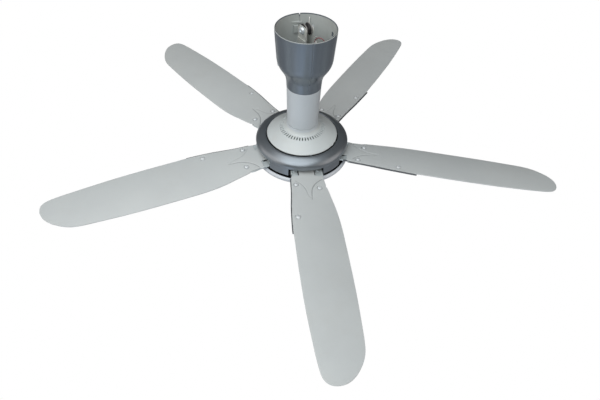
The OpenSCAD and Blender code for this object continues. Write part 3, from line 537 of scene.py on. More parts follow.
def canopy_shell(angles, notch_at):
    parts = Parts()
    p = np.vstack([can_prof, can_prof[:1]])
    a = np.radians(np.array(angles, float))
    P = np.stack([p[:, :1] * np.cos(a), p[:, :1] * np.sin(a), np.repeat(p[:, 1:2], len(a), 1)], -1)
    away = np.abs(np.array(angles) - notch_at) * math.pi / 180 * 79
    top = 349 - 4.4 * np.clip((1.8 - away) / 1.4, 0, 1)
    h = P[:, :, 2]
    P[:, :, 2] = np.where(h > 338, 338 + (h - 338) * (top[None, :] - 338) / 11, h)
    from_seam = np.minimum(np.abs(np.array(angles) - angles[0]), np.abs(np.array(angles) - angles[-1]))
    groove = 0.55 * smooth((0.62 - from_seam) / 0.6)
    R = np.hypot(P[:, :, 0], P[:, :, 1])
    k = 1 - np.where(np.arange(len(p))[:, None] < len(outer), groove[None, :], 0) / R
    P[:, :, 0] *= k
    P[:, :, 1] *= k
    parts.grid(P, mat=can_mat)
    # the inner faces near the top of the notch take the dark paint, so the notch is darker
    m = len(angles)
    for i in range(len(outer), len(p) - 1):
        for j in range(m - 1):
            if p[i][1] > 343.0 and away[j] < 1.5:
                parts.m[i * (m - 1) + j] = 0
    parts.face(P[:-1, 0], 1)
    parts.face(P[:-1, -1][::-1], 1)
    return parts


near_seam = [0.14, 0.3, 0.44, 0.6, 0.9, 1.2, 1.5, 1.8, 1.95, 2.3, 3.0]
steps_round = list(np.arange(4.5, 178.6, 1.5)) + [179.2, 179.6, 179.86]
left_angles = [68 + x for x in near_seam + steps_round]
right_angles = [428 - x for x in reversed(near_seam + steps_round)]


def arc_block(parts, r0, r1, h0, h1, a0, a1, n, mat=1, c=0.35, thick=None):
    """A block bent round the axis, its long edges broken by c. thick narrows its inner side along its length."""
    a = np.linspace(a0, a1, n + 1)
    loops = []
    for x in a:
        q0 = r0 if thick is None else r1 - thick((x - a0) / (a1 - a0))
        loops.append(np.array([[q0 + c, h0], [r1, h0], [r1, h1], [q0 + c, h1], [q0, h1 - c], [q0, h0 + c]]))
    L = np.array(loops)
    ca, sa = np.cos(np.radians(a))[:, None], np.sin(np.radians(a))[:, None]
    P = np.stack([L[:, :, 0] * ca, L[:, :, 0] * sa, L[:, :, 1]], -1)
    parts.grid(P, wrap=True, mat=mat)
    parts.face(P[0], mat)
    parts.face(P[-1][::-1], mat)


left = canopy_shell(left_angles, 68)
arc_block(left, 73.6, 76.4, 323, 328, 63, 68.6, 6)
arc_block(left, 73.6, 77.9, 323, 328, 68.3, 88, 20, thick=lambda u: 4.3 * (1 - u ** 1.7) + 0.15)
arc_block(left, 71.2, 76.9, 298, 319, 71.6, 81.4, 10, c=0.7)
left_half = build("canopy_shell_left", left, [M["canopy_paint"], M["canopy_bare"]], sharp=34)


def at_lock(V, out):
    """Points of a part spun about z, set square to the canopy's wall at the lock screw, out mm along z."""
    c, s = math.cos(math.radians(25)), math.sin(math.radians(25))
    z = V[:, 2] + out
    return turned(np.column_stack([70.1 + z * c - V[:, 0] * s, V[:, 1], 247 - V[:, 0] * c - z * s]), 151).tolist()


bead = Parts()
bead.spin([[0, 0], [5, 0], [5, 4.6], [4.2, 5.4], [0, 5.4]], seg=40, mat=0)
V = np.array(bead.v)
bead.v = at_lock(V, -7)
bead_o = build("bead", bead, [M["canopy_bare"]], sharp=34)
left_half = join([left_half, bead_o], "canopy_shell_left")
shade(left_half, 34)
put(left_half, "canopy", "canopy_paint", "canopy_half_left")

right_ = canopy_shell(right_angles, 428)
arc_block(right_, 74.2, 77.6, 321.5, 338.5, 47.75, 49.35, 2, mat=3, c=0.3)
right_half = build("canopy_shell_right", right_, [M["canopy_paint"], M["canopy_bare"], M["dish_inside_painted_shade"], M["terminal_plastic"]], sharp=34)
# A blind pocket cut into the wall; its faces take the dark canopy paint as painted shade, for a dark opening.
window = Parts()
window.v = turned([[x, y, h] for x in (70, 77.4) for y in (-4.5, 4.5) for h in (310.5, 321.5)], -10).tolist()
window.f = [(0, 1, 3, 2), (4, 6, 7, 5), (0, 4, 5, 1), (2, 3, 7, 6), (0, 2, 6, 4), (1, 5, 7, 3)]
window.m = [0] * 6
window_o = build("window", window, [M["canopy_paint"], M["canopy_bare"], M["dish_inside_painted_shade"], M["terminal_plastic"]])
cut(right_half, window_o)
shade(right_half, 34)
put(right_half, "canopy", "canopy_paint", "canopy_half_right")

lock = Parts()
head = [[0, 0], [3.4, 0], [3.4, 0.8], [3.1, 1.6], [2.4, 2.2], [1.3, 2.5], [0, 2.6]]
lock.spin(curve(head[1:], 3).tolist(), seg=40)
lock.spin([[0, 0], [3.4, 0]], seg=40)
V = np.array(lock.v)
lock.v = at_lock(V, 0.25)
stem = Parts()
stem.spin([[0, 0], [2, 0], [2, 8.6], [0, 8.6]], seg=24)
V = np.array(stem.v)
lock_o = build("lock_head", lock, [M["zinc_hardware"]], sharp=50)
stem.v = at_lock(V, -8)
stem_o = build("lock_stem", stem, [M["zinc_hardware"]], sharp=50)
lock_o = join([lock_o, stem_o], "canopy_lock_screw")
shade(lock_o, 50)
put(lock_o, "canopy", "zinc_hardware", "canopy_screw")

# ---------- tube cover ----------
tube = Parts()
side = curve([[45.8, 60], [46.6, 120], [48, 180.5]], 10)
prof = np.vstack([arc(45.8 - 0.5, 60.5, 0.5, -90, 0, 3), side[1:-1], arc(48 - 0.6, 180.5 - 0.6, 0.6, 0, 90, 3),
                  [[44.6, 180.5], [44.6, 234.6]], arc(44.6 - 1.2, 236 - 1.2, 1.2, 20, 90, 3), [[13.75, 236], [13.75, 233]],
                  [[42, 233], [42, 180.5], [44, 120], [43.2, 60]]])
tube.spin(prof, seg=144, closed=True)
tube_o = build("tube_shell", tube, [M["tube_plastic"]], sharp=34)
drills = []
for a in (-46, -10):
    d = Parts()
    d.spin([[0, 228], [4, 228], [4, 240], [0, 240]], seg=32)
    V = np.array(d.v)
    V[:, 0] += 28
    d.v = turned(V, a).tolist()
    drills.append(build("drill", d, [M["tube_plastic"]]))
cut(tube_o, join(drills, "drills"))
shade(tube_o, 34)
put(tube_o, "hanger", "tube_plastic", "tube_cover")

# ---------- top cover with its ring of slots ----------
cover_pts = [[46.2, 58.5], [46.4, 55.5], [47.4, 51], [49.3, 46.6], [52.2, 43], [56, 41], [61, 39.6], [67, 37.8], [73, 35],
             [82, 30.2], [91, 25], [99, 20.6], [102.6, 18.5], [104.4, 16.9], [104.9, 15.4]]
cov = curve(cover_pts, 6)
cov_in = inset(cov[12:-24], -2.4)
top_h = lambda R: np.interp(R, cov[:, 0], cov[:, 1])
low_h = lambda R: np.interp(R, cov_in[:, 0], cov_in[:, 1])
R_A, R_B, SLOTS, SLOT_W = 53.6, 68.6, 48, 2.9
cover = Parts()
cover_seg = SLOTS * 6
offs = 0.0
ang = [offs + 360 / cover_seg * k for k in range(cover_seg)]


# Faces of the neck above h 52 take the bluer tube plastic: painted shade on the neck's upright band, which is the same
# plastic as the cover.
def full(prof, mat=0):
    p = np.array(prof, float)
    a = np.radians(np.array(ang))
    P = np.stack([p[:, :1] * np.cos(a), p[:, :1] * np.sin(a), np.repeat(p[:, 1:2], len(a), 1)], -1)
    cover.grid(P, wrap=True, mat=[1 if max(p[i][1], p[i + 1][1]) > 52.0 and min(p[i][0], p[i + 1][0]) > 44 else mat for i in range(len(p) - 1)])


out_far = cov[cov[:, 0] > R_B]
out_near = cov[cov[:, 0] < R_A]
in_far = cov_in[cov_in[:, 0] > R_B]
in_near = cov_in[cov_in[:, 0] < R_A]
lip = out_far[out_far[:, 1] > 15.9]
full(np.vstack([[[102.6, 15.0], [104.0, 15.0], [104.6, 15.2]], lip[::-1], [[R_B, top_h(R_B)]]]))
full(np.vstack([[[R_A, top_h(R_A)]], out_near[::-1][:-1], arc(46.2 - 0.5, 58.5 - 0.5, 0.5, 0, 90, 3), [[42.6, 58.5], [42.6, 64], [40.2, 64], [40.2, 56]],
                in_near, [[R_A, low_h(R_A)]]]))
full(np.vstack([[[R_B, low_h(R_B)]], in_far[in_far[:, 0] < 101.6], [[102.5, 15.6], [102.6, 15.0]]]))


def stadium(grow):
    """24 points round a slot, matched to 24 round its sector: far end, one side, near end, other side."""
    r = SLOT_W / 2 + grow
    c0, c1 = 55.4 + SLOT_W / 2, 66.8 - SLOT_W / 2
    far = [(c1 + r * math.cos(math.radians(x)), r * math.sin(math.radians(x))) for x in np.linspace(-90, 90, 7)]
    near = [(c0 + r * math.cos(math.radians(x)), r * math.sin(math.radians(x))) for x in np.linspace(90, 270, 7)]
    side1 = [(c1 + (c0 - c1) * k / 6, r) for k in range(1, 6)]
    side2 = [(c0 + (c1 - c0) * k / 6, -r) for k in range(1, 6)]
    return np.array(far + side1 + near + side2)


def sector():
    half = 360 / SLOTS / 2
    pts = [(R_B, x) for x in np.linspace(-half, half, 7)]
    pts += [(R_B + (R_A - R_B) * k / 6, half) for k in range(1, 6)]
    pts += [(R_A, x) for x in np.linspace(half, -half, 7)]
    pts += [(R_A + (R_B - R_A) * k / 6, -half) for k in range(1, 6)]
    return np.array([(r * math.cos(math.radians(x)), r * math.sin(math.radians(x))) for r, x in pts])


rect, s0, s1, s2 = sector(), stadium(0), stadium(0.28), stadium(0.1)
mid = 0.5 * rect + 0.5 * stadium(0.6)
on = lambda p, f, d=0.0: np.column_stack([p, f(np.hypot(p[:, 0], p[:, 1])) - d])
rings = np.array([on(rect, top_h), on(mid, top_h), on(s1, top_h), on(s2, top_h, 0.1), on(s0, top_h, 0.32), on(s0, low_h), on(rect, low_h)])
for k in range(SLOTS):
    W = turned(rings.reshape(-1, 3), (k + 0.5) * 360 / SLOTS).reshape(rings.shape)
    cover.grid(W, wrap=True)
cover.spin([[19.3, 40.5], [49, 40.5], [49, 43.5], [19.3, 43.5]], seg=96, closed=True)
for a in (30, 150, 270):
    b = Parts()
    b.spin([[0, 34], [4, 34], [4, 22.8], [3.8, 22.6], [1.5, 22.6], [1.5, 30], [0, 30]], seg=32)
    V = np.array(b.v)
    V[:, 0] += 71
    base = len(cover.v)
    cover.v += turned(V, a).tolist()
    cover.f += [tuple(x + base for x in f) for f in b.f]
    cover.m += b.m
a0 = math.degrees(2 / 105)
arc_block(cover, 102.9, 106.1, 14.4, 16.4, -66 - a0, -66 + a0, 4, mat=0, c=0.0)
cover_o = build("cover_shell", cover, [M["top_cover_plastic"], M["tube_plastic"]], sharp=32)
put(cover_o, "hanger", "top_cover_plastic", "top_cover")

# ---------- ring cover with an opening for every blade ----------
AZ = [28, 100, 172, 244, 316]
band_pts = [[107.2, 11.2], [107.3, 12.4], [108.8, 14.2], [110.8, 15.6], [113.2, 16.2], [117, 15.2], [124, 11.9], [130.5, 8], [135, 3.6],
            [137.6, -1], [138.5, -6], [138.1, -10.5], [136.8, -14]]
crown = curve(band_pts, 4)
under = np.array([[132.8, -14], [134.6, -12.5], [135.9, -8], [135.8, -4], [134.4, 0.2], [131.4, 4], [127, 7.4], [119, 11.4], [114.4, 13], [112, 12.9], [110, 12], [108.8, 10.8], [107.9, 10.7]])
wall_top = -16.5
crown_prof = np.vstack([crown, [[135.9, -15.0], [135.4, -15.4], [135.4, wall_top], [132.8, wall_top]], under])
columns = set(np.round(np.arange(0, 360, 2.0), 4).tolist())
notch = []
for az in AZ:
    lo_a, hi_a = az + math.degrees(math.asin(-57 / 135)), az + math.degrees(math.asin(46 / 135))
    notch.append((lo_a, hi_a))
    for x in (lo_a, hi_a):
        columns = {c for c in columns if min(abs(c - x % 360), 360 - abs(c - x % 360)) > 0.8}
        columns.add(round(x % 360, 4))
columns = sorted(columns)
ring = Parts()
a = np.radians(columns)
p = np.vstack([crown_prof, crown_prof[:1]])
P = np.stack([p[:, :1] * np.cos(a), p[:, :1] * np.sin(a), np.repeat(p[:, 1:2], len(a), 1)], -1)
i_wall = len(crown) + 2


def in_notch(x):
    return any(lo_a - 1e-3 <= y <= hi_a + 1e-3 for lo_a, hi_a in notch for y in (x, x + 360, x - 360))


n_c = len(columns)
gap = [in_notch((columns[j] + (columns[(j + 1) % n_c] + (360 if j == n_c - 1 else 0))) / 2) for j in range(n_c)]
base = len(ring.v)
ring.v += P.reshape(-1, 3).tolist()
for i in range(len(p) - 1):
    for j in range(n_c):
        if i == i_wall and not gap[j]:
            continue
        q, r_ = base + i * n_c + j, base + i * n_c + (j + 1) % n_c
        ring.f.append((q, r_, r_ + n_c, q + n_c))
        ring.m.append(0)
wall = [[135.4, wall_top], [135.25, -28], [135.05, -41.0], [134.7, -41.4], [132.9, -41.4], [132.6, -41.1], [132.7, -28], [132.8, wall_top]]
w = np.array(wall)
WP = np.stack([w[:, :1] * np.cos(a), w[:, :1] * np.sin(a), np.repeat(w[:, 1:2], len(a), 1)], -1)
base = len(ring.v)
ring.v += WP.reshape(-1, 3).tolist()
for j in range(n_c):
    if gap[j]:
        continue
    jn = (j + 1) % n_c
    for i in range(len(w) - 1):
        q, r_ = base + i * n_c + j, base + i * n_c + jn
        ring.f.append((q, r_, r_ + n_c, q + n_c))
        ring.m.append(0)
    if gap[j - 1]:
        ring.f.append(tuple(base + i * n_c + j for i in range(len(w))))
        ring.m.append(0)
    if gap[jn]:
        ring.f.append(tuple(base + i * n_c + jn for i in reversed(range(len(w)))))
        ring.m.append(0)
ring_o = build("ring_shell", ring, [M["ring_paint"]], sharp=50)
bevel(ring_o, 0.35, 2, 50)
posts = []
for az in AZ:
    b = Parts()
    b.spin([[0, -43], [5, -43], [5, 12.5], [0, 12.5]], seg=40)
    V = np.array(b.v)
    V[:, 0] += 116
    b.v = turned(V, az + 36).tolist()
    posts.append(build("post", b, [M["ring_paint"]], sharp=34))
ring_o = join([ring_o] + posts, "ring_shell")
shade(ring_o, 42)
weighted(ring_o)
put(ring_o, "rotor", "ring_paint", "ring_cover")


# ---------- blades ----------
def pitch_slope(r):
    return 0.10 + 0.062 * smooth((r - 140) / 170) - 0.015 * smooth((r - 450) / 250)


def skin(r, t):
    return -30.94 - 0.00542 * r + pitch_slope(r) * (t - 10) + 4.2 * (1 - ((t - 10) / 66) ** 2)


outline = [[142, -41, 50.6], [156, -41.2, 52.8], [170, -42, 54.4], [184, -43, 55.8],
           [190, -45.8, 56.2], [206, -48.6, 57.8], [236, -52.6, 61.4], [264, -56.6, 65.2], [300, -59.4, 69], [340, -60, 72],
           [384, -59, 73], [440, -57.2, 74.6], [500, -54.8, 75.4], [560, -51.4, 75.4], [620, -46.6, 73.6], [660, -42.8, 71.9],
           [684, -37.6, 70.6], [702, -29.4, 69.2], [716, -20, 67.6], [728, -10, 64.8], [737, 0.5, 60], [743.5, 11, 53], [747, 21, 44.6],
           [748.3, 29.6, 36.4], [748.5, 32.0, 34.0]]
RIM = 0.9
dense = curve(outline, 24)
trail, lead = dense[:, [0, 1]], dense[:, [0, 2]]
trail_in, lead_in = trail + RIM * left_normals(trail), lead - RIM * left_normals(lead)
far = dense[:, 0] > 700
r_main = np.concatenate([[142.9, 143.3, 144.0], np.arange(145.0, 240, 1.15), np.arange(240.5, 262, 2.4), np.arange(265, 700, 6.0)])


def side_in(r, curve_in, corner, sign):
    """The inner edge of the blade's grid at radius r, with a rounded root corner."""
    t = np.interp(r, curve_in[:, 0], curve_in[:, 1])
    near = r < 145
    bend = corner + sign * np.sqrt(np.clip(2.1 ** 2 - np.clip(145 - r, 0, 2.1) ** 2, 0, None))
    return np.where(near, bend, t)


t_lo, t_hi = side_in(r_main, trail_in, -38.0, -1), side_in(r_main, lead_in, 47.6, 1)
rows = [np.array([[r, lo], [r, hi]]) for r, lo, hi in zip(r_main, t_lo, t_hi)]
tip_t, tip_l = trail_in[far][2::3], lead_in[far][2::3]
rows += [np.array([x, y]) for x, y in zip(tip_t, tip_l)]
f1, f2 = (-21.8 + 38) / 86.8, (31.7 + 38) / 86.8
frac = np.concatenate([np.linspace(0, f1, 15)[:-1], np.linspace(f1, f2, 50)[:-1], np.linspace(f2, 1, 17)])
j1, j2 = 14, 14 + 49
main = np.array([row[0] + (row[1] - row[0]) * frac[:, None] for row in rows])
r_tong = np.concatenate([np.arange(108.9, 137.5, 3.0), [138, 139, 140, 140.9, 141.6, 142.2, 142.6]])
tong = []
for r in r_tong:
    q = 4.9 - math.sqrt(4.9 ** 2 - max(0.0, r - 138) ** 2) if r < 142.9 else 4.9
    lo_t, hi_t = -16.9 - q, 26.8 + q
    row = np.column_stack([np.full(len(frac), r), np.interp(frac, [0, f1, f2, 1], [lo_t - 10, lo_t, hi_t, hi_t + 10])])
    tong.append(row)
grid = np.vstack([np.array(tong), main])
mask = np.ones((grid.shape[0] - 1, grid.shape[1] - 1), bool)
mask[: len(tong), :j1] = False
mask[: len(tong), j2:] = False

line_1 = curve([(161.5, 41.4), (168, 34.5), (175.5, 27.5), (185.5, 21), (196.5, 16.8), (209, 14.6), (221, 11.8), (229, 6.5)], 8)
line_2 = curve([(155.5, -37.5), (161, -28.5), (170, -18), (181.5, -8.8), (195.5, -2), (209, 1.3), (222, 2.6), (234.5, 4.4)], 8)
SCREWS = [(177, 41.9), (190.5, -23.5), (297, 53.1)]
DIMPLE = 1.3


def off_line(x, t, line):
    d = np.full(len(x), 1e9)
    for p, q in zip(line[:-1], line[1:]):
        v = q - p
        u = np.clip(((x - p[0]) * v[0] + (t - p[1]) * v[1]) / (v @ v), 0, 1)
        d = np.minimum(d, np.hypot(x - p[0] - u * v[0], t - p[1] - u * v[1]))
    return d


def blade_top(x, t):
    z = skin(x, t)
    near = (x > 140) & (x < 320)
    xn, tn = x[near], t[near]
    e = np.zeros(len(xn))
    for line, depth_ in ((line_1, 0.8), (line_2, 1.3)):
        e -= depth_ * np.exp(-((off_line(xn, tn, line) / 1.25) ** 2))
    for r, s in ((236.4, 9.2), (224, 20.5)):
        e += 0.55 * np.exp(-((np.hypot(xn - r, tn - s) / 2.0) ** 4))
    for r, s in SCREWS:
        d = np.hypot(xn - r, tn - s)
        e = e * smooth((d - 6.5) / 3) - DIMPLE * (1 - smooth((d - 6.3) / 2.6))
    z[near] += e
    return z


blade_parts = slab(grid, mask, blade_top, lambda x, t: skin(x, t) - 3.0, rim=RIM, low=0.7)
at = np.array(blade_parts.v)
top_side = at[:, 2] > skin(at[:, 0], -at[:, 1]) - 2.2
# Painted shade along the two grooves, fading outward.
near_1 = smooth((1.7 - off_line(at[:, 0], -at[:, 1], line_1)) / 1.3) * (1 - 0.5 * smooth((at[:, 0] - 195) / 30))
near_2 = smooth((1.8 - off_line(at[:, 0], -at[:, 1], line_2)) / 1.3) * (1 - 0.4 * smooth((at[:, 0] - 205) / 25))
# A ring of painted shade round each screw head.
heads = np.zeros(len(at))
for r, t in SCREWS:
    d = np.hypot(at[:, 0] - r, -at[:, 1] - t)
    heads = np.maximum(heads, 0.6 * smooth((d - 4.5) / 1.5) * (1 - smooth((d - 6.9) / 1.8)))
# painted shade in the grooves and round the screw heads, set stronger or weaker on each blade by how the light falls on
# it
GROOVE_SHADE = [(0.75, 0.30), (0.40, 0.85), (0.40, 0.85), (0.55, 0.90), (0.75, 0.30)]
for k, az in enumerate(AZ):
    p_ = Parts()
    p_.v, p_.f, p_.m = turned(blade_parts.v, az).tolist(), blade_parts.f, blade_parts.m
    o = build(f"blade_sheet_{k + 1}", p_, [M["blade_plastic"]], sharp=60, weld=0)
    shade_attr = o.data.attributes.new("groove", "FLOAT", "POINT")
    shade_amount = np.maximum(heads, np.maximum(GROOVE_SHADE[k][0] * near_1, GROOVE_SHADE[k][1] * near_2))
    shade_attr.data.foreach_set("value", np.where(top_side, shade_amount, 0.0).astype(np.float32))
    put(o, "rotor", "blade_plastic", f"blade_{k + 1}")

# ---------- blade brackets ----------
plate_rows = curve([[148, -42.0, 55.4], [160, -42.8, 56.4], [176, -43.9, 57.8], [186, -41, 58.5], [204, -26, 60.4], [230, -2, 63.8], [262, 22, 68.2], [300, 40, 71.9],
                    [340, 48.5, 75.0], [349.5, 60, 75.0]], 10)
lead_of = lambda x: np.interp(x, plate_rows[:, 0], plate_rows[:, 2])
trail_of = lambda x: np.interp(x, plate_rows[:, 0], plate_rows[:, 1])
pc = np.concatenate([[0, 0.012, 0.03, 0.06], np.linspace(0.12, 0.9, 10), [0.94, 0.96, 0.972, 0.983, 0.992, 1]])
plate_grid = np.array([[(r, lo + 0.7 + (hi - lo - 1.4) * f) for f in pc] for r, lo, hi in plate_rows])


def plate_top(x, t):
    lip = 2.1 * smooth((t - (lead_of(x) - 2.7)) / 0.9) * smooth((x - 150) / 6) * smooth((346 - x) / 8)
    lip2 = 1.6 * smooth(((trail_of(x) + 1.9) - t) / 0.8) * smooth((x - 148) / 3) * smooth((184 - x) / 4)
    return skin(x, t) - 3.4 + lip + lip2


plate_parts = slab(plate_grid, np.ones((len(plate_grid) - 1, len(pc) - 1), bool), plate_top, lambda x, t: skin(x, t) - 5.9, rim=0.7, low=0.5)
xs = np.concatenate([np.arange(99.6, 135.5, 1.8), [136.6, 138, 139.5, 141, 143, 145, 147, 149, 151, 153.2]])
tf = [-1, -0.955, -0.91, -0.87, -0.8, -0.72, -0.64, -0.56, -0.52, -0.49]
fork = []
for x in xs:
    lo_e = -43.0 + 1.2 * smooth((x - 120) / 30)
    hi_e = 48.5 + 3.2 * (x - 99) / 53
    q = 2.0 * smooth((x - 133) / 3.6)
    in_lo, in_hi = -21.2 + 0.5 * q, 31.2 - 0.5 * q
    row = np.concatenate([lo_e + (in_lo - lo_e) * np.array([0, 0.06, 0.12, 0.16, 0.2, 0.26, 0.5, 0.8, 0.92, 1]),
                          np.linspace(in_lo, in_hi, 8)[1:-1],
                          hi_e + (in_hi - hi_e) * np.array([1, 0.92, 0.8, 0.5, 0.26, 0.2, 0.16, 0.12, 0.06, 0])])
    fork.append([(x, t) for t in row])
fork = np.array(fork)
fmask = np.ones((fork.shape[0] - 1, fork.shape[1] - 1), bool)
solid_from = int(np.argmax(xs > 136.5))
fmask[:solid_from, 9:16] = False
edge_lo = lambda x: -43.0 + 1.2 * smooth((x - 120) / 30)
edge_hi = lambda x: 48.5 + 3.2 * (x - 99) / 53


def fork_top(x, t):
    fade = smooth((x - 112) / 6)
    lip = 2.0 * smooth((edge_lo(x) + 3.9 - t) / 1.0) + 2.0 * smooth((t - (edge_hi(x) - 3.9)) / 1.0)
    return 3.0 + lip * fade * (0.55 + 0.45 * smooth((150 - x) / 4))


def seat(V):
    c, s = math.cos(math.radians(-5.6)), math.sin(math.radians(-5.6))
    return np.column_stack([V[:, 0], V[:, 1] * c - V[:, 2] * s, V[:, 1] * s + V[:, 2] * c - 36.2])


fork_parts = slab(fork, fmask, fork_top, lambda x, t: 0 * x, rim=0.6, low=0.5, place=seat)
# Plate faces under the blade's leading edge and the fork's outer lip take the near-black painted shade, for the shade
# gap along the edge.
pv = np.array(plate_parts.v)
plate_mat = []
for face in plate_parts.f:
    x, y = pv[list(face)][:, 0].mean(), pv[list(face)][:, 1].mean()
    plate_mat.append(1 if x > 150 and -y > lead_of(x) - 2.9 else 0)
fv = np.array(fork_parts.v)
fork_mat = []
for face in fork_parts.f:
    x, y = fv[list(face)][:, 0].mean(), fv[list(face)][:, 1].mean()
    fork_mat.append(1 if x > 134 and -y > edge_hi(x) - 1.6 else 0)
for k, az in enumerate(AZ):
    both = Parts()
    both.v = turned(plate_parts.v, az).tolist() + turned(fork_parts.v, az).tolist()
    both.f = plate_parts.f + [tuple(x + len(plate_parts.v) for x in f) for f in fork_parts.f]
    both.m = plate_mat + fork_mat
    o = build(f"bracket_sheet_{k + 1}", both, [M["bracket_paint"], M["bracket_edge_painted_shade"]], sharp=50, weld=0)
    put(o, "rotor", "bracket_paint", f"blade_bracket_{k + 1}")

# ---------- dome screws on the blades ----------
dome = Parts()
dome_side = curve([[6.0, 0.0], [6.0, 0.9], [5.5, 2.4], [4.1, 3.7], [2.0, 4.35], [0.0, 4.5]], 5)
dome.spin(np.vstack([[[0, -7.5], [2, -7.5], [2, 0]], dome_side]), seg=40)
dome_o = build("dome", dome, [M["screw_paint"]], ring=False, sharp=50)
cross = Parts()
for a_ in (0, 90):
    base = len(cross.v)
    cross.v += turned([[x, y, z] for x in (-1.9, 1.9) for y in (-0.42, 0.42) for z in (3.2, 5.6)], a_ + 20).tolist()
    cross.f += [tuple(base + x for x in f) for f in [(0, 1, 3, 2), (4, 6, 7, 5), (0, 4, 5, 1), (2, 3, 7, 6), (0, 2, 6, 4), (1, 5, 7, 3)]]
    cross.m += [0] * 6
cut(dome_o, build("cross", cross, [M["screw_paint"]], ring=False, weld=0), own=True)
screws = []
for k, az in enumerate(AZ):
    for r, t in SCREWS:
        tilt = math.atan(-float(pitch_slope(r)) + 8.4 * (t - 10) / 4356)
        m = (Matrix.Rotation(math.radians(az), 4, "Z") @ Matrix.Translation(Vector((r, -t, float(skin(r, t)) - DIMPLE - DROP)) * 0.001)
             @ Matrix.Rotation(tilt, 4, "X") @ Matrix.Rotation(0.7 * k + r, 4, "Z"))
        o = bpy.data.objects.new("s", dome_o.data)
        scene.collection.objects.link(o)
        o.matrix_world = m
        screws.append(o)
bpy.context.view_layer.update()
bpy.data.objects.remove(dome_o)
screws_o = join(screws, "blade_dome_screws")
shade(screws_o, 50)
put(screws_o, "rotor", "zinc_hardware", "blade_screws")

# ---------- bottom cover ----------
dish_pts = [[136.9, -47.6], [138.8, -47.9], [141.2, -49.6], [142.7, -52.2], [143.1, -55], [142.3, -58], [139.8, -61.8], [134, -66.2], [126, -70.6],
            [114, -75.8], [92, -82.6], [64, -87.4], [34, -89.7], [0.2, -90.2]]
dish_out = curve(dish_pts, 5)
dish_in = inset(dish_out, -2.4)
dish_in = dish_in[dish_in[:, 0] > 1]
dish = Parts()
dprof = np.vstack([dish_out[:-1], [[0, -90.2]], [[0, -87.8]], dish_in[::-1]])
# The dish's inner faces take the near-black painted shade.
dish_mat = [0] * (len(dish_out) - 1) + [0] + [1] * len(dish_in) + [0]
dish.spin(dprof, seg=180, closed=True, mat=dish_mat)
dish_o = build("dish_shell", dish, [M["dish_plastic"], M["dish_inside_painted_shade"]], sharp=34)
# The bosses inside the dish take the near-black painted shade as well.
tools, bosses = [], []
for a_ in (90, 210, 330):
    for rr, z0, z1, kind in ((4.2, -92, -84.0, 0), (5.0, -87.9, -70.0, 1)):
        d = Parts()
        d.spin([[0, z0], [rr, z0], [rr, z1], [0, z1]], seg=48)
        V = np.array(d.v)
        V[:, 0] += 48
        d.v = turned(V, a_).tolist()
        (bosses if kind else tools).append(build("dish_tool", d, [M["dish_inside_painted_shade" if kind else "dish_plastic"]], sharp=34))
cut(dish_o, join(tools, "dish_tools"))
boss_o = join(bosses, "dish_bosses")
drill = []
for a_ in (90, 210, 330):
    for rr, z0, z1 in ((4.2, -92, -84.0), (2.2, -92, -60)):
        d = Parts()
        d.spin([[0, z0], [rr, z0], [rr, z1], [0, z1]], seg=32)
        V = np.array(d.v)
        V[:, 0] += 48
        d.v = turned(V, a_).tolist()
        drill.append(build("dish_drill", d, [M["dish_plastic"]], sharp=34))
cut(boss_o, join(drill, "dish_drills"))
dish_o = join([dish_o, boss_o], "dish_shell")
shade(dish_o, 34)
put(dish_o, "hanger", "dish_plastic", "bottom_cover")

# ---------- hanger ----------
clevis = refine("hanger_clevis", [M["galvanized_steel"]], 0.5, 3, 40, name="clevis_fine")
put(clevis, "hanger", "galvanized_steel", "hanger_clevis")

roll = Parts()
rp = [[5.6, -9.1], [8.6, -9.1], [9.0, -8.8], [14.5, -8.8]]
half_side = np.vstack([[[5.6, -9.1], [8.4, -9.1], [8.9, -8.75], [14.4, -8.75]], arc(14.6, -7.85, 0.9, -90, 0, 4), [[15.5, -6.9]], arc(14.7, -6.5, 0.8, 20, 75, 3),
                       curve([[14.3, -5.6], [12.6, -4.6], [11.4, -3.7], [11, -2.6], [11, 0]], 4)])
roll_prof = np.vstack([half_side, (half_side * [1, -1])[::-1][1:]])
# Faces of the roller's outer rim take the paler rubber, a painted highlight along the rim.
roll_mat = [1 if min(roll_prof[i][0], roll_prof[(i + 1) % len(roll_prof)][0]) > 14.9 else 0 for i in range(len(roll_prof))]
roll.spin(roll_prof, seg=72, closed=True, mat=roll_mat)
roll_o = build("roller_body", along_x(roll, 0, 11), [M["roller_rubber"], M["rubber_rim_painted_highlight"]], ring=False, sharp=40)
put(roll_o, "roller", "roller_rubber", "rubber_roller")

bolt = Parts()
headp = curve([[9.8, 0.0], [9.8, 1.3], [8.9, 3.25], [6.9, 4.65], [3.6, 5.4], [0, 5.6]], 5)
bolt.spin(np.vstack([[[0, -34.0], [3.6, -34.0], [4, -33.4], [4, 0]], headp]), seg=56)
bolt_o = build("bolt_body", along_x(bolt, -12.5, 11, flip=True), [M["zinc_hardware"]], ring=False, sharp=42)
cx = Parts()
for a_ in (45, 135):
    c_, s_ = math.cos(math.radians(a_)), math.sin(math.radians(a_))
    base = len(cx.v)
    for x, wide in ((-20.5, 1.3), (-15.4, 0.7)):
        for u, v_ in ((-5.2, -wide), (5.2, -wide), (5.2, wide), (-5.2, wide)):
            u *= 1.0 if x < -18 else 0.45
            cx.v.append([x, u * c_ - v_ * s_, 11 + u * s_ + v_ * c_])
    cx.f += [tuple(base + x for x in f) for f in [(0, 1, 2, 3), (7, 6, 5, 4), (0, 4, 5, 1), (1, 5, 6, 2), (2, 6, 7, 3), (3, 7, 4, 0)]]
    cx.m += [0] * 6
cut(bolt_o, build("recess", cx, [M["zinc_hardware"]], ring=False, weld=0), own=True)
shade(bolt_o, 42)
put(bolt_o, "hanger", "zinc_hardware", "roller_bolt")
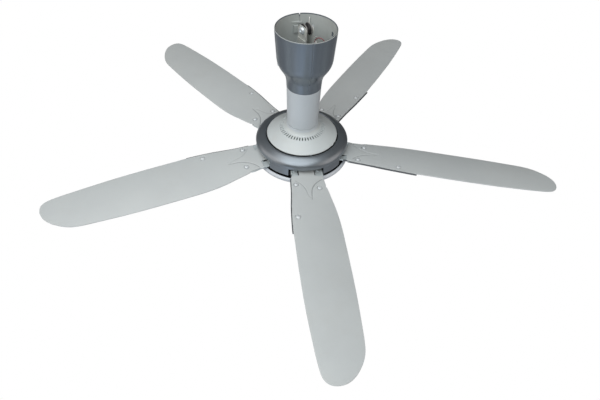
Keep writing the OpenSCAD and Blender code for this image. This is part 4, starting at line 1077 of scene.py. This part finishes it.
for node, slot_name, mat, e in (("roller_nut", "zinc_hardware", "zinc_hardware", 0.5), ("hanger_cross_bolt", "zinc_hardware", "zinc_hardware", 0.4),
                                ("hanger_cross_nut", "zinc_hardware", "zinc_hardware", 0.5), ("hanger_set_screw", "zinc_hardware", "dark_steel", 0.2),
                                ("terminal_block", "terminal_plastic", "terminal_plastic", 0.7)):
    put(refine(node, [M[mat]], e, 2, 40, name=node + "_fine"), "hanger", slot_name, node)


# ---------- leads ----------
def polar(r, az, z):
    return [r * math.cos(math.radians(az)), r * math.sin(math.radians(az)), z]


def tube_along(pts, r, sides=14):
    pts = np.array(pts)
    t = np.gradient(pts, axis=0)
    t /= np.linalg.norm(t, axis=1)[:, None]
    side_v = np.cross(t[0], [1.0, 0, 0])
    rings_ = []
    for p_, tt in zip(pts, t):
        side_v = side_v - (side_v @ tt) * tt
        side_v /= np.linalg.norm(side_v)
        b = np.cross(tt, side_v)
        a_ = np.linspace(0, 2 * math.pi, sides, endpoint=False)
        rings_.append(p_ + r * (np.cos(a_)[:, None] * side_v + np.sin(a_)[:, None] * b))
    parts = Parts()
    P_ = np.array(rings_)
    parts.grid(P_, wrap=True)
    parts.face(P_[0])
    parts.face(P_[-1][::-1])
    return parts


live = [polar(*q) for q in ((23.1, -30.1, -26.4), (23.3, -30.2, -20.5), (27, -31.5, -14.8), (33.8, -33.5, -12.2), (41.5, -35.5, -14.2),
                            (48.3, -37, -21.5), (51.2, -39, -33), (46, -42, -52), (35, -45, -74), (29, -46, -93), (27.5, -46, -130),
                            (27.5, -46, -200), (27.5, -46, -268), (28.5, -46, -292), (36, -45, -301), (46, -44, -304), (47.5, -44, -310.85))]
neutral = [polar(*q) for q in ((20.5, -12.4, -26.4), (20.9, -12.4, -21.5), (25, -9, -17), (31, -5, -17.5), (35, -3, -24),
                               (36.5, -3, -38), (35, -5, -58), (31, -8, -78), (28, -10, -95), (27.5, -10, -130),
                               (27.5, -10, -200), (27.5, -10, -268), (28.5, -10, -292), (36, -10, -301), (46, -10, -304), (47.5, -10, -310.85))]
for name, route, mat in (("live_lead", live, "lead_red"), ("neutral_lead", neutral, "lead_black")):
    o = build(name + "_round", tube_along(curve(live if name == "live_lead" else neutral, 7), 1.2), [M[mat]], ring=False, sharp=60)
    put(o, "hanger", mat, name)

# ---------- CAD nodes that keep their shape ----------
for node, mat in (("roller_sleeve", "sleeve_steel"), ("downrod", "galvanized_steel"), ("shaft_coupler", "coupler_iron"), ("coupler_cross_bolt", "zinc_hardware"),
                  ("coupler_cross_nut", "zinc_hardware"), ("motor_shaft", "sleeve_steel"), ("control_board", "board_laminate"),
                  ("board_components", "component_plastic"), ("board_screws", "zinc_hardware"), ("stator_core", "core_steel"),
                  ("stator_insulator", "insulator_plastic"), ("stator_windings", "copper_wire"), ("upper_bearing_inner", "bearing_steel"),
                  ("upper_bearing_outer", "bearing_steel"), ("upper_bearing_balls", "bearing_steel"), ("upper_bearing_cage", "cage_brass"),
                  ("lower_bearing_inner", "bearing_steel"), ("lower_bearing_outer", "bearing_steel"), ("lower_bearing_balls", "bearing_steel"),
                  ("lower_bearing_cage", "cage_brass"), ("rotor_lid", "cast_aluminium"), ("rotor_base", "cast_aluminium"), ("rotor_yoke", "core_steel"),
                  ("rotor_magnets", "magnet_ferrite"), ("rotor_lid_screws", "zinc_hardware"), ("ring_cover_screws", "zinc_hardware"),
                  ("bracket_screws", "zinc_hardware"), ("bottom_bracket", "galvanized_steel"), ("shaft_nut", "zinc_hardware"),
                  ("bottom_cover_screws", "zinc_hardware")):
    o = NODES[node]
    o.data.materials.clear()
    o.data.materials.append(M[mat])

# ---------- studio ----------
white = bpy.data.materials.new("floor_white")
white.use_nodes = True
nt = white.node_tree
nt.nodes.clear()
emit, mout = nt.nodes.new("ShaderNodeEmission"), nt.nodes.new("ShaderNodeOutputMaterial")
emit.inputs["Color"].default_value, emit.inputs["Strength"].default_value = (1, 1, 1, 1), 1.0
nt.links.new(emit.outputs[0], mout.inputs[0])
room = Parts()
room_prof = np.vstack([[[0, -3800], [4500, -3800]], arc(4500, -2300, 1500, -90, 0, 8), [[6000, 3000]], arc(4500, 3000, 1500, 0, 90, 8), [[0, 4500]]])
room.spin(room_prof, seg=64)
floor = build("floor", room, [white], ring=False, sharp=80)
for flag in ("visible_diffuse", "visible_glossy", "visible_transmission", "visible_volume_scatter", "visible_shadow"):
    setattr(floor, flag, False)


def lamp(name, place, aim, size, power, colour=(1, 1, 1), size_y=None, spread=180):
    d = bpy.data.lights.new(name, "AREA")
    d.shape, d.size, d.size_y = "RECTANGLE", size, size_y or size
    d.energy, d.color, d.spread = power, colour, math.radians(spread)
    o = bpy.data.objects.new(name, d)
    scene.collection.objects.link(o)
    p, q = to_row(*place), to_row(*aim)
    o.location = p
    o.rotation_mode = "QUATERNION"
    o.rotation_quaternion = (q - p).to_track_quat("-Z", "Y")
    return o


lamp("key", (-0.30, -1.25, 2.0), (0, 0, 0), 2.4, 46.5, (0.90, 0.965, 1.0), size_y=3.0)
lamp("near", (-0.45, -0.75, 1.7), (0, 0, 0), 2.4, 14, (1.0, 0.92, 0.88))

world = bpy.data.worlds.new("studio")
scene.world = world
world.use_nodes = True
wt = world.node_tree
wt.nodes.clear()
N, L = wt.nodes.new, wt.links.new
wout, back = N("ShaderNodeOutputWorld"), N("ShaderNodeBackground")
L(back.outputs[0], wout.inputs[0])
wtc = N("ShaderNodeTexCoord")
sep = N("ShaderNodeSeparateXYZ")
L(wtc.outputs["Generated"], sep.inputs[0])
sky = N("ShaderNodeValToRGB")
mr = N("ShaderNodeMapRange")
mr.inputs["From Min"].default_value, mr.inputs["From Max"].default_value = -1, 1
L(sep.outputs["Z"], mr.inputs["Value"])
L(mr.outputs[0], sky.inputs["Fac"])
cr = sky.color_ramp
cr.elements[0].position, cr.elements[0].color = 0.0, (0.36, 0.37, 0.39, 1)
cr.elements[1].position, cr.elements[1].color = 1.0, (0.03, 0.03, 0.03, 1)
e = cr.elements.new(0.5)
e.color = (0.03, 0.03, 0.03, 1)
total = sky.outputs["Color"]


def lobe(direction, inner, outer, colour, before):
    """A soft patch of light in the studio round a direction, full inside the angle inner and gone at outer."""
    global total
    d = to_row_dir(*direction).normalized()
    dot = N("ShaderNodeVectorMath")
    dot.operation = "DOT_PRODUCT"
    L(wtc.outputs["Generated"], dot.inputs[0])
    dot.inputs[1].default_value = d
    r = N("ShaderNodeMapRange")
    r.interpolation_type = "SMOOTHSTEP"
    r.inputs["From Min"].default_value, r.inputs["From Max"].default_value = math.cos(math.radians(outer)), math.cos(math.radians(inner))
    L(dot.outputs["Value"], r.inputs["Value"])
    s = N("ShaderNodeVectorMath")
    s.operation = "SCALE"
    s.inputs[0].default_value = colour
    L(r.outputs[0], s.inputs["Scale"])
    add = N("ShaderNodeVectorMath")
    add.operation = "ADD"
    L(before, add.inputs[0])
    L(s.outputs[0], add.inputs[1])
    return add.outputs[0]


total = lobe((-0.05, -0.68, -0.73), 10, 34, (0.45, 0.545, 0.67), total)
total = lobe((0.92, -0.30, 0.25), 10, 42, (1.08, 0.97, 0.90), total)
total = lobe((-0.92, -0.30, 0.25), 10, 46, (1.18, 1.08, 1.02), total)
total = lobe((-0.6, -0.45, -0.65), 10, 34, (0.22, 0.23, 0.24), total)
total = lobe((0.6, -0.45, -0.65), 10, 34, (0.07, 0.07, 0.07), total)
L(total, back.inputs["Color"])
scene.view_settings.view_transform = "Standard"
